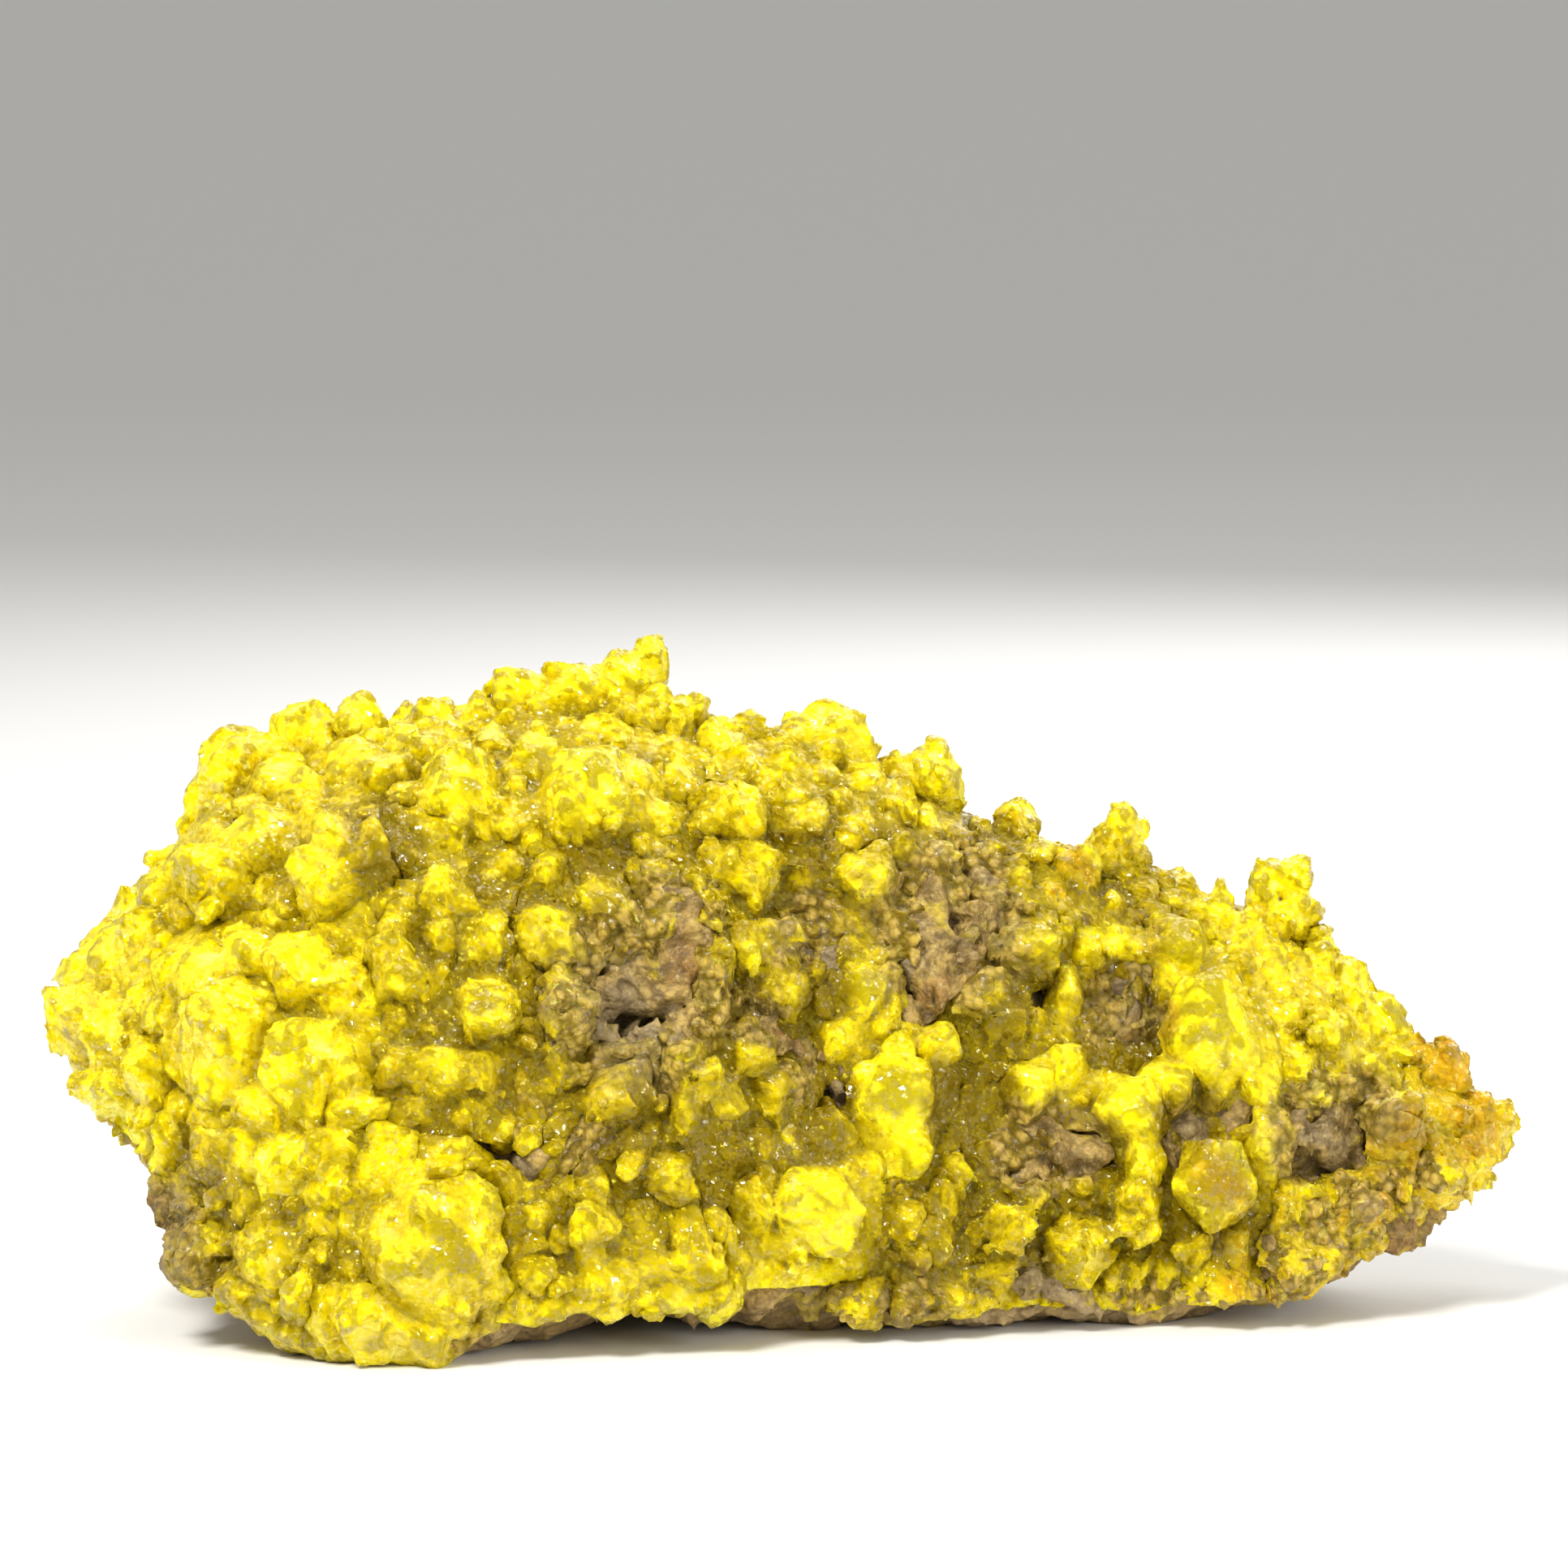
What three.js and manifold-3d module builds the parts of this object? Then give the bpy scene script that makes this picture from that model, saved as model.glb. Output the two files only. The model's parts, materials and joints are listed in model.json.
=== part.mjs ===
// Native sulfur specimen: clusters of lemon-yellow sulfur crystals grown over the front and the crest
// of a brown, granular slab of rock that stands on its own flattened underside.
// Millimetres, +Z up, +X to the right of the show face, and the show face looks towards -Y.
// The origin is under the middle of the specimen, on the plane that it stands on.
import * as THREE from "three";
import Module from "manifold-3d";
import { ConvexGeometry } from "three/addons/geometries/ConvexGeometry.js";
import { mergeVertices } from "three/addons/utils/BufferGeometryUtils.js";

const wasm = await Module();
wasm.setup();

// Driving dimensions
const GAP = 0.3; // clearance between neighbouring bodies
const ROCK_GAP = 0.345; // clearance from the rock to the crusts, at their corners
const CRUST_GAP = 0.45; // how far a finished cluster is grown before the next is cut by it
const FOOT_CLEARANCE = 0.5; // the lowest that a sulfur crystal reaches above the foot plane
const CRUST_THICKNESS = 2.2; // how far the crust between the large crystals stands off the rock
const CRUST_ROUGHNESS = 1.3; // how much the crust's corners rise and fall about that
const CRUST_BACK = 13; // depth at which the crust ends, just behind the crest
const SLICE = 8.3125; // spacing of the cross-sections along the rock
const CRYSTAL_OUT = 1.3; // how far a crystal's middle stands in front of the rock, unless it says so
const ROCK_ROUGHNESS = 1.3; // height of the lumps on the rock

// The rock, as cross-sections along X. Each row holds the position along X, the depth and the height
// of the lower front edge, the height of the underside, the depth and the height of the crest, and
// the depth of the lower back edge.
const SECTIONS = [
  [-66, -6, 26, 26, 2, 32, 9],
  [-60, -14, 11, 10, 3, 42, 16],
  [-54, -20, 7, 5, 4, 50, 22],
  [-46, -25, 3, 1.5, 5, 53.5, 27],
  [-38, -27, 0, 0, 6, 55, 30],
  [-28, -26, 2, 0, 7, 55.5, 31],
  [-18, -23, 6, 2, 8, 56, 32],
  [-8, -20, 6, 2, 8, 54, 32],
  [2, -17, 4, 0, 8, 52, 31],
  [12, -14, 1, 0, 8, 48, 30],
  [22, -12, 1, 0, 8, 44.5, 29],
  [32, -10, 1, 0, 8, 41, 28],
  [42, -9, 1.5, 0, 8, 37, 26],
  [50, -7, 3, 2, 8, 32, 23],
  [57, -4, 8.5, 6.5, 7, 27, 19],
  [63, -1, 11.5, 10, 6, 20, 14],
  [67, 2, 13, 12, 5, 16, 9],
];
// Hollows in the rock's front: position along X, height, radius and depth.
const HOLLOWS = [
  [31, 29, 6, 5],
  [4, 25, 5, 3],
  [17, 22, 5, 3.5],
  [-1, 32, 5, 2.5],
  [-50, 23, 3, 1.5],
];

// Broken faces on the rock's back, each as the direction that it faces and its distance from the
// middle of the foot.
const FRACTURES = [
  [[-0.42, 0.83, 0.36], 36.5],
  [[0.12, 0.93, 0.34], 38],
  [[0.5, 0.8, 0.34], 38],
  [[-0.08, 0.62, 0.78], 47.5],
  [[0.34, 0.52, 0.78], 46],
];

// A repeatable stream of numbers from 0 to 1.
function randomStream(seed) {
  let state = Math.imul(seed + 1, 2654435761) >>> 0;
  return () => {
    state = (state + 0x6d2b79f5) >>> 0;
    let bits = Math.imul(state ^ (state >>> 15), 1 | state);
    bits = (bits + Math.imul(bits ^ (bits >>> 7), 61 | bits)) ^ bits;
    return ((bits ^ (bits >>> 14)) >>> 0) / 4294967296;
  };
}

// The rock's cross-section at a position along X.
function sectionAt(x) {
  const last = SECTIONS.length - 2;
  let row = 0;
  while (row < last && SECTIONS[row + 1][0] < x) row += 1;
  const [from, to] = [SECTIONS[row], SECTIONS[row + 1]];
  const share = THREE.MathUtils.clamp((x - from[0]) / (to[0] - from[0]), 0, 1);
  const [, frontY, lift, under, crestY, crestZ, backY] = from.map((v, i) => v + (to[i] - v) * share);
  return { frontY, lift, under, crestY, crestZ, backY };
}

function hollowAt(x, z) {
  let depth = 0;
  for (const [hx, hz, radius, deep] of HOLLOWS) {
    depth += deep * Math.exp(-((x - hx) ** 2 + (z - hz) ** 2) / (radius * radius));
  }
  return depth;
}

// Depth of the rock's front face: upright at the foot, leaning back to the crest.
function frontAt(x, z) {
  const s = sectionAt(x);
  const rise = THREE.MathUtils.clamp((z - s.lift) / (s.crestZ - s.lift), 0, 1);
  const turn = Math.asin(rise) / (Math.PI / 2);
  return s.frontY + (s.crestY - s.frontY) * turn ** 1.5 + hollowAt(x, z);
}

function lump(x, y, z) {
  const coarse = Math.sin(x * 0.41 + z * 0.23) * Math.cos(y * 0.37 - z * 0.31);
  const fine = Math.sin(x * 0.93 - y * 0.71 + 1.7) * Math.cos(z * 0.83 + 0.4);
  return ROCK_ROUGHNESS * (coarse + 0.6 * fine);
}

// One closed cross-section of the rock: up the front, down the back and along the underside.
function rockRing(x) {
  const s = sectionAt(x);
  const points = [];
  const front = 6;
  const back = 4;
  for (let i = 0; i <= front; i += 1) {
    const turn = i / front;
    const z = s.lift + (s.crestZ - s.lift) * Math.sin(turn * Math.PI / 2);
    const y = s.frontY + (s.crestY - s.frontY) * turn ** 1.5 + hollowAt(x, z);
    points.push([x, y, z]);
  }
  const backFoot = s.under + 2;
  for (let i = 1; i <= back; i += 1) {
    const turn = i / back;
    const y = s.crestY + (s.backY - s.crestY) * Math.sin(turn * Math.PI / 2) ** 0.9;
    points.push([x, y, s.crestZ + (backFoot - s.crestZ) * turn ** 1.5]);
  }
  const rough = points.map(([px, py, pz]) => {
    const height = lump(px, py, pz);
    const out = new THREE.Vector2(py - s.crestY, pz - s.crestZ / 2).normalize();
    return [px, py + out.x * height, Math.max(pz + out.y * height * 0.6, s.under + 0.6)];
  });
  const inset = 2.5 + s.lift - s.under;
  rough.push([x, s.backY - 3, s.under]);
  rough.push([x, (s.frontY + s.backY) / 2, s.under]);
  rough.push([x, Math.min(s.frontY + inset, s.backY - 6), s.under]);
  return rough;
}

// The rock's surface, moved outwards by grow, with its corners rising and falling by rough.
function rockGeometry(grow, rough = 0) {
  const stations = [];
  for (let x = SECTIONS[0][0]; x < SECTIONS[SECTIONS.length - 1][0]; x += SLICE) stations.push(x);
  stations.push(SECTIONS[SECTIONS.length - 1][0]);
  const rings = stations.map(rockRing);
  const count = rings[0].length;
  const positions = rings.flat(2);
  const index = [];
  for (let i = 0; i < rings.length - 1; i += 1) {
    for (let j = 0; j < count; j += 1) {
      const next = (j + 1) % count;
      const [a, b] = [i * count + j, i * count + next];
      index.push(a, a + count, b, b, a + count, b + count);
    }
  }
  for (const [ring, outward, tip] of [[0, false, -1.5], [rings.length - 1, true, 1.5]]) {
    const middle = new THREE.Vector3();
    for (const point of rings[ring]) middle.add(new THREE.Vector3(...point));
    middle.divideScalar(count);
    const centre = positions.length / 3;
    positions.push(middle.x + tip, middle.y, middle.z);
    for (let j = 0; j < count; j += 1) {
      const [a, b] = [ring * count + j, ring * count + ((j + 1) % count)];
      index.push(...(outward ? [centre, b, a] : [centre, a, b]));
    }
  }
  const geometry = new THREE.BufferGeometry();
  geometry.setAttribute("position", new THREE.Float32BufferAttribute(positions, 3));
  geometry.setIndex(index);
  if (grow === 0) return geometry;
  geometry.computeVertexNormals();
  const { position, normal } = geometry.attributes;
  const random = randomStream(7);
  for (let i = 0; i < position.count; i += 1) {
    const out = grow + rough * (2 * random() - 1);
    const x = position.getX(i) + normal.getX(i) * out;
    const y = position.getY(i) + normal.getY(i) * out;
    position.setXYZ(i, x, y, position.getZ(i) + normal.getZ(i) * out);
  }
  return geometry;
}

function toSolid(geometry) {
  const bare = geometry.clone();
  bare.deleteAttribute("normal");
  bare.deleteAttribute("uv");
  const merged = mergeVertices(bare, 1e-4);
  const vertProperties = new Float32Array(merged.attributes.position.array);
  const triVerts = new Uint32Array(merged.index.array);
  return new wasm.Manifold(new wasm.Mesh({ numProp: 3, vertProperties, triVerts }));
}

// Rings of corner points about an axis make one convex, faceted crystal. A ring is its height, its
// radius and how many corners it has, all as shares of the crystal's half-height and half-widths.
function facetedSolid(rings, half, rotation, centre, random, grow) {
  const points = [];
  for (const [height, radius, corners] of rings) {
    const start = random() * Math.PI * 2;
    for (let i = 0; i < corners; i += 1) {
      const angle = start + ((i + 0.35 * (random() - 0.5)) / corners) * Math.PI * 2;
      const reach = radius * (1 + 0.22 * (random() - 0.5));
      const level = height + 0.22 * (random() - 0.5);
      const x = Math.cos(angle) * reach * (half.x + grow);
      const y = Math.sin(angle) * reach * (half.y + grow);
      points.push(new THREE.Vector3(x, y, level * (half.z + grow)));
    }
  }
  for (const point of points) point.applyQuaternion(rotation).add(centre);
  return toSolid(new ConvexGeometry(points));
}

const LARGE_RINGS = [[0.9, 0.6, 4], [0.1, 1.06, 5], [-0.9, 0.68, 3]];
const SMALL_RINGS = [[0.92, 0.6, 3], [0, 1.12, 4], [-0.92, 0.66, 3]];
const SMALL = 3; // a crystal of a smaller half-width than this has fewer corners

// A crystal on the rock's front: position along X, height, half-width, height over width, lean to the
// right in degrees, and how far its middle stands in front of the rock.
function crystalSolid([x, z, r, tall = 1, lean = 0, out = CRYSTAL_OUT], seed, grow) {
  const random = randomStream(seed);
  const pitch = 20 * (random() - 0.5);
  const turn = new THREE.Euler(THREE.MathUtils.degToRad(pitch), THREE.MathUtils.degToRad(lean), 0);
  const rotation = new THREE.Quaternion().setFromEuler(turn);
  const half = new THREE.Vector3(r, 0.6 * r + 1.2, r * tall);
  const centre = new THREE.Vector3(x, frontAt(x, z) - out, z);
  return facetedSolid(r < SMALL ? SMALL_RINGS : LARGE_RINGS, half, rotation, centre, random, grow);
}

// An outline with every edge moved outwards.
function grownOutline(outline, grow) {
  const points = outline.map(([x, z]) => new THREE.Vector2(x, z));
  const side = THREE.ShapeUtils.isClockWise(points) ? -1 : 1;
  return points.map((point, i) => {
    const before = points[(i + points.length - 1) % points.length];
    const after = points[(i + 1) % points.length];
    const [into, from] = [point.clone().sub(before).normalize(), after.clone().sub(point).normalize()];
    const along = into.clone().add(from).normalize();
    const outward = new THREE.Vector2(along.y, -along.x).multiplyScalar(side * grow);
    return point.clone().addScaledVector(outward, 1 / Math.max(0.5, along.dot(from)));
  });
}

// The crust over the rock, inside an outline on the show face and as far back as the given depth.
function crustSolid(outline, back, grow) {
  const shape = new THREE.Shape(grownOutline(outline, grow));
  const prism = new THREE.ExtrudeGeometry(shape, { depth: 90, bevelEnabled: false, steps: 1 });
  prism.rotateX(Math.PI / 2).translate(0, back + grow, 0);
  return toSolid(rockGeometry(CRUST_THICKNESS + grow, CRUST_ROUGHNESS)).intersect(toSolid(prism));
}

// The clusters of crystals that grew together. Each has the outline of its crust on the show face, as
// X and height, how far back that goes, and its larger crystals, as crystalSolid takes them.
const CLUSTERS = [
  {
    name: "lower_left_disc",
    back: -8,
    color: 0xd9c90f,
    crust: [
      [-41, 14.5], [-39.5, 19], [-31, 20.5], [-26.3, 16], [-26, 9], [-27.5, 4.5], [-30.5, 2.2], [-36, 0],
      [-43, 0], [-43, 4], [-41.5, 9],
    ],
    crystals: [
      [-33, 10.5, 6.8, 1, 5, 1.6], [-36.5, 17, 3.4], [-32.5, 17.2, 3.2], [-38, 4, 3.9, 0.9, 0, 1.8],
      [-33.8, 3.6, 3.4, 0.9], [-41.5, 4.6, 2.8],
    ],
  },
  {
    name: "lower_left_corner_crust",
    back: -8,
    color: 0xcbbd22,
    crust: [
      [-57.8, 17], [-52, 15.5], [-44, 15], [-41, 14], [-41, 9], [-42.5, 4], [-42.5, 0.5], [-49, 2.6],
      [-54, 6.5], [-56.4, 10.5], [-58.8, 14],
    ],
    crystals: [
      [-48.3, 9.7, 3.6, 1, 10], [-45.2, 7, 2.9], [-54.5, 8.6, 2.6],
    ],
  },
  {
    name: "left_lobe",
    back: 9,
    color: 0xdccb16,
    crust: [
      [-72, 23.5], [-71.5, 30], [-67.5, 35.5], [-63, 38.5], [-59.4, 39.5], [-59, 36], [-59.3, 28],
      [-58.8, 20], [-60.2, 17.5], [-64, 21], [-68, 22],
    ],
    crystals: [
      [-66.9, 28, 3.1, 1.1, 0, 0.8], [-63.2, 28, 4.3, 1.1], [-64.2, 23.2, 2.9, 1, 0, 1],
      [-62.9, 34.2, 3.2, 1, 20], [-66.2, 31.4, 2.8, 1, 25, 0.8],
    ],
  },
  {
    name: "left_mass",
    back: 0,
    color: 0xdccd12,
    crust: [
      [-59.5, 37], [-55, 39], [-49, 41], [-44, 40.5], [-38.8, 41], [-38.3, 30], [-38.6, 22], [-40, 18.5],
      [-41, 14.5], [-44, 14.5], [-52, 15], [-60.5, 16.5], [-58.8, 20],
    ],
    crystals: [
      [-52, 29, 5, 1.15, 8, 2], [-45, 26.8, 4.2, 1.35, 0, 2], [-56.2, 26.4, 2.8, 1.4],
      [-51, 18.3, 3.2], [-47, 18, 3.3], [-54.3, 34.2, 3.2, 0.8, -35], [-50.2, 36.4, 3, 0.9, 30],
      [-45.9, 35.8, 3.3, 1.1],
    ],
  },
  {
    name: "upper_left_blocks",
    color: 0xe0d020,
    crust: [
      [-59.9, 40], [-59.4, 46], [-56.8, 51.5], [-52.5, 55], [-46, 58], [-38, 59.5], [-38.5, 50],
      [-38, 41], [-44, 40], [-49, 40.5], [-55, 38.5], [-59, 37],
    ],
    crystals: [
      [-52, 51.3, 4.2, 1.5, 52, 1.6], [-50, 46.6, 4.4, 0.9, 10, 1.6], [-56.8, 43.4, 3.2, 1, 0, 1.6],
      [-54, 43.6, 4.2, 0.9, 0, 1.6], [-42.8, 44.2, 4.3, 1.3, 3, 2.6], [-45.8, 55, 2.9],
      [-41.2, 52.6, 3, 1], [-41.6, 56.6, 2.6, 1.1],
    ],
  },
  {
    name: "crown",
    color: 0xe2d31c,
    crust: [
      [-38.5, 62], [-38.2, 45.5], [-33, 44], [-25, 46], [-20, 47], [-12, 47.5], [-8.5, 50], [-6.5, 57],
      [-7, 66], [-38, 66],
    ],
    crystals: [
      [-33.6, 56.2, 3.2, 1, 0, 1], [-25.5, 59, 2.1, 1.45, 5, 0.6],
      [-20.6, 60.3, 2.7, 1, 0, 0.6], [-22.8, 58.6, 2.6, 1, 0, 0.6], [-16, 61.2, 3, 1, 0, 0.4],
      [-13.6, 63.4, 1.5, 1.3, 0, 0.4], [-15.2, 56.8, 3.3, 1, 0, 1.8],
      [-10.4, 55.8, 3.2], [-31, 50.6, 4.4, 1, -10, 2], [-23.6, 52.8, 3, 1.1],
      [-19, 50.4, 4.9, 0.9, 0, 3.4],
    ],
  },
  {
    name: "shoulder",
    color: 0xe0d11e,
    crust: [
      [-7, 60], [8.5, 60], [15.6, 57], [16.2, 49.5], [11, 48.5], [5, 50], [0, 49.8], [-3, 51.5], [-8, 52.5],
    ],
    crystals: [
      [4.8, 54.4, 2.8, 1.25, 0, 1], [1.8, 54.6, 2.4, 1.1], [-3.2, 54.8, 2.2],
      [0.2, 51.8, 2.1, 1.3, 10], [10.4, 51, 2], [13.6, 51.4, 3.1, 0.75, -24, 1.6],
      [14.4, 52.2, 1.6, 1.1],
    ],
  },
  {
    name: "centre_crust",
    color: 0xd6c81c,
    crust: [
      [-9.3, 50], [-7, 52], [-3, 51], [0, 49.3], [5, 49.5], [11, 48], [17, 49], [17.5, 42], [15, 40.8],
      [11, 40.5], [10, 36.5], [9.5, 35], [4.5, 36.5], [2, 33], [0, 31], [-5, 31], [-8.7, 31.5], [-9, 37],
      [-11.2, 38.5], [-11, 47],
    ],
    crystals: [
      [-5.2, 48.4, 4.6, 0.9, 0, 2.4], [-6.2, 44, 2.9, 1, 0, 2], [-2.9, 43.2, 3.2, 1.2, 0, 1.6],
      [7.2, 42.8, 3.3, 1, 0, 2.2], [11.4, 43.6, 1.7, 1.8], [-1.8, 37, 3.4, 0.9, 10, 2], [-4.2, 36.9, 2.8],
      [-1.2, 33.6, 3.3, 0.8, 0, 2.8],
    ],
  },
  {
    name: "centre_ledge",
    color: 0xc9ba28,
    crust: [
      [-25, 46], [-20, 47], [-11, 47], [-11, 38.5], [-18.7, 37], [-19.4, 27], [-22, 22], [-25.2, 21],
    ],
    crystals: [
      [-22.4, 38, 3, 1, 0, 1.6], [-17.4, 41.8, 3, 0.9, 0, 1.6], [-21, 32, 1.9, 2, 0, 2],
    ],
  },
  {
    name: "centre_left_crust",
    color: 0xd2c41c,
    crust: [
      [-38.2, 44.5], [-33, 44], [-25.2, 45.5], [-24.8, 34], [-25.2, 21.5], [-31, 20.5], [-39.5, 19],
      [-38.3, 22], [-38, 30], [-38.3, 41],
    ],
    crystals: [
      [-32, 41.5, 3.1, 0.9, 0, 1.6], [-28.6, 37.8, 2.8, 1.1],
      [-28.2, 32.6, 3.3, 1, 0, 1.7], [-36.8, 36, 2.6, 1.3, 30], [-33, 26.4, 3, 1],
    ],
  },
  {
    name: "centre_blades",
    color: 0xc8b914,
    crust: [
      [-20, 28], [-14, 28.5], [-9, 30.5], [-5, 31.2], [0, 31], [2.5, 29.5], [3, 24], [0.2, 20.7], [0, 17],
      [-4.5, 16.2], [-5, 14], [-8, 12.8], [-14.5, 14], [-22, 17.5], [-22.2, 22],
    ],
    crystals: [
      [-9.2, 21.8, 2.2, 3.2, -4, 2.2], [-10.4, 15.8, 2, 1.1, 0, 2.6], [-16.4, 23.8, 3.4, 1, 0, 1.6],
      [-4.6, 27.6, 2.1, 1.7, 42, 2.2], [-1.4, 23.8, 3.1, 1.2, 0, 1.8], [-5.9, 23.4, 2.3, 1.3, 0, 2],
    ],
  },
  {
    name: "knob_column",
    color: 0xdccc10,
    crust: [
      [0, 31.2], [2, 33.5], [4.4, 36.6], [9.5, 35.8], [10, 30.5], [10, 27], [6, 24.5], [3, 24.5],
      [2.5, 29],
    ],
    crystals: [
      [5.2, 28.4, 2.8, 1, 0, 2.4], [6.9, 33, 2, 1.3, 0, 2],
    ],
  },
  {
    name: "lantern_crystal",
    color: 0xeada06,
    crust: [
      [6, 26.5], [10, 29.5], [15.6, 29.5], [15.5, 22], [13, 16.5], [9, 16], [6.3, 21],
    ],
    crystals: [
      [10.3, 22.3, 4.1, 1.15, 0, 3], [11.2, 18.2, 2.6, 1.1, 0, 3], [14, 27.6, 1.6, 1.7, 32, 3],
      [10.3, 27, 1.5, 1.2, 0, 2.6], [14, 24.4, 1.7, 1.4, 0, 3],
    ],
  },
  {
    name: "front_block",
    color: 0xe3d40a,
    crust: [
      [-4.6, 16], [0, 17.2], [0.3, 21], [6.2, 21.4], [8.8, 17], [8.7, 9], [8, 6.2], [2, 5.5], [-3.8, 6],
      [-5, 10.5],
    ],
    crystals: [
      [2.8, 13.2, 4.6, 0.85, 0, 3.2], [3, 19.6, 3.3, 0.7, 0, 1.6], [-3, 13.4, 2.7, 1, 0, 1.6],
    ],
  },
  {
    name: "front_row",
    color: 0xcebf18,
    crust: [
      [-28, 17], [-22, 17.2], [-14.5, 13.8], [-8, 12.5], [-5, 11], [-4, 5], [-10, 5.1], [-18, 4.9],
      [-27, 4.4], [-26, 9], [-26, 15],
    ],
    crystals: [
      [-18, 12, 2.6, 1, 0, 1.6], [-9.5, 9.2, 2.9, 1, 0, 1.8], [-17.5, 7.6, 2.9, 0.9],
    ],
  },
  {
    name: "middle_knobs",
    color: 0xc9bb14,
    crust: [
      [15, 30.5], [15, 36.5], [19, 38.6], [27.5, 38.8], [27.2, 35], [25.3, 33.2], [22.5, 32.2], [22.8, 30],
      [25, 27], [22, 26], [16, 26.5],
    ],
    crystals: [
      [22.6, 36, 3.1, 0.9, 0, 1.8], [18.2, 31.2, 2, 1.2],
    ],
  },
  {
    name: "ridge",
    color: 0xd8c722,
    crust: [
      [16.6, 50.5], [24, 50], [29, 48], [33.5, 50], [34.5, 43], [37, 41.5], [36.5, 38], [30.5, 38.2],
      [27, 38.8], [21.5, 39.2], [17.5, 42],
    ],
    crystals: [
      [22, 46.4, 2.1, 1.1], [26.8, 41.4, 2.7, 1, 0, 1.8], [31.3, 43.4, 2.6, 1.3, 0, 1],
      [31.8, 46.6, 1.3, 2, 6, 0.8],
    ],
  },
  {
    name: "arch_druse",
    color: 0x9c9228,
    crust: [
      [27.3, 33], [33, 33.5], [35.7, 31], [35.7, 24.5], [32.5, 22.8], [29, 25], [27.3, 28],
    ],
    crystals: [
      [29.6, 27.4, 2.6, 1, 0, 1.2],
    ],
  },
  {
    name: "arch",
    color: 0xe6d70a,
    crust: [
      [27, 38.7], [30.5, 38], [41, 37.5], [43, 33], [47.5, 25], [48, 14], [45, 9.8], [38, 9.8], [36.2, 13],
      [35, 15], [30.8, 15], [29.4, 19], [24, 19.8], [19.8, 20.8], [19.8, 25], [24, 26.5], [25.2, 33.3],
    ],
    crystals: [
      [32.4, 36, 2.7, 0.9, 0, 1.8], [37, 35.4, 3.4, 1.1, 0, 1.8], [26.5, 30.8, 1.8, 2, 0, 2.2],
      [25.8, 24.8, 2, 1.2, 0, 2.6], [22.6, 22.7, 2.8, 0.9, 0, 2.4], [40.2, 27, 4.4, 1.4, 0, 3],
      [36.3, 23.2, 2.6, 1, 30, 2.8], [32.8, 20.6, 3.6, 1, 0, 2.6],
      [33, 16.2, 2, 1.4, 0, 2.4], [44.6, 23.6, 2, 1.6, -14, 2.4], [45.6, 17.6, 2.1, 1.8, 4, 2],
      [40.4, 14.2, 4, 1.1, 0, 3],
    ],
  },
  {
    name: "lower_centre_crust",
    color: 0xbdb234,
    crust: [
      [4.3, 2], [4.5, 5.5], [8.2, 6.2], [9, 16], [13, 16.4], [15.6, 22], [15.8, 26.3], [20, 26],
      [19.8, 20.8], [25, 19.6], [26, 17.4], [20.5, 17], [20, 14.2], [26, 14], [26.5, 12.5], [24.6, 9.5],
      [24, 3], [12, 1.5],
    ],
    crystals: [
      [6.6, 3.5, 2.1, 0.9, 0, 1.4], [11.2, 4, 2.7, 0.8], [14.6, 4.2, 2.8, 0.9],
      [13.6, 9.8, 1.9, 1.5, 0, 1.8], [20.4, 10.4, 2.2, 0.9, 0, 2.2], [19.6, 6.2, 2.2, 1, 0, 1.8],
    ],
  },
  {
    name: "lower_front_crystals",
    color: 0xd9ca14,
    crust: [
      [24.2, 10], [26.6, 12.6], [28.3, 15], [31, 15.2], [35, 15], [36.3, 12.8], [37.8, 9.8], [45, 9.6],
      [45.2, 3], [38, 2.2], [24.2, 2.8],
    ],
    crystals: [
      [33, 12.6, 2.2, 1.1, 0, 2.4], [32.6, 10, 2.3, 0.9, 0, 2.2], [26.9, 7.4, 3, 0.95, 0, 1.8],
    ],
  },
  {
    name: "right_slope",
    color: 0xe2d440,
    crust: [
      [36.8, 41.8], [38, 42], [44, 41], [50, 37], [58, 34], [62, 28], [61, 24.5], [58.5, 21.5], [56, 20.8],
      [50, 21.8], [47.8, 21], [47.5, 25], [43, 33], [41, 37.6], [36.6, 38],
    ],
    crystals: [
      [38, 38.8, 2.3], [51.4, 31.6, 2.3, 1.1], [51.4, 27, 2.6],
      [46.4, 39.4, 1.3, 1.8, 8, 0.8], [47.9, 41.6, 1.3, 1, 0, 0.8], [50, 41.2, 1.5, 1.1, 0, 0.8],
      [50.4, 38.9, 1.3, 1.2, 0, 0.8], [48.6, 37.2, 1.8, 1, 0, 0.8], [47.9, 34.8, 1.9, 1.3, 0, 0.8],
    ],
  },
  {
    name: "right_tip",
    back: 9,
    color: 0xc9ac2a,
    crust: [
      [61, 24.5], [65, 26.5], [69.5, 21.5], [71.5, 17.5], [70, 15.5], [64, 12], [58, 10], [57.5, 13],
      [56.2, 15], [56.2, 21], [58.5, 21.5],
    ],
    crystals: [
      [58.4, 17.2, 2.9, 1.3, 0, 1.8], [64.2, 22.2, 2.9], [65.4, 18, 2.9, 0.9], [66.6, 15.4, 2.3],
      [69, 17.4, 1.6, 1, 0, 0.8], [62.2, 13.4, 2.6, 0.8],
    ],
  },
  {
    name: "lower_right_crust",
    back: 5,
    color: 0xb79a3a,
    crust: [
      [45.2, 10], [48, 13], [50.3, 11.2], [53, 14], [57.5, 14], [57.3, 9.2], [54, 6], [50, 3.6],
      [45.2, 2.6],
    ],
    crystals: [
      [48.4, 6, 2.9, 0.9], [54.6, 10, 2.6, 0.9],
    ],
  },
];

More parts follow.
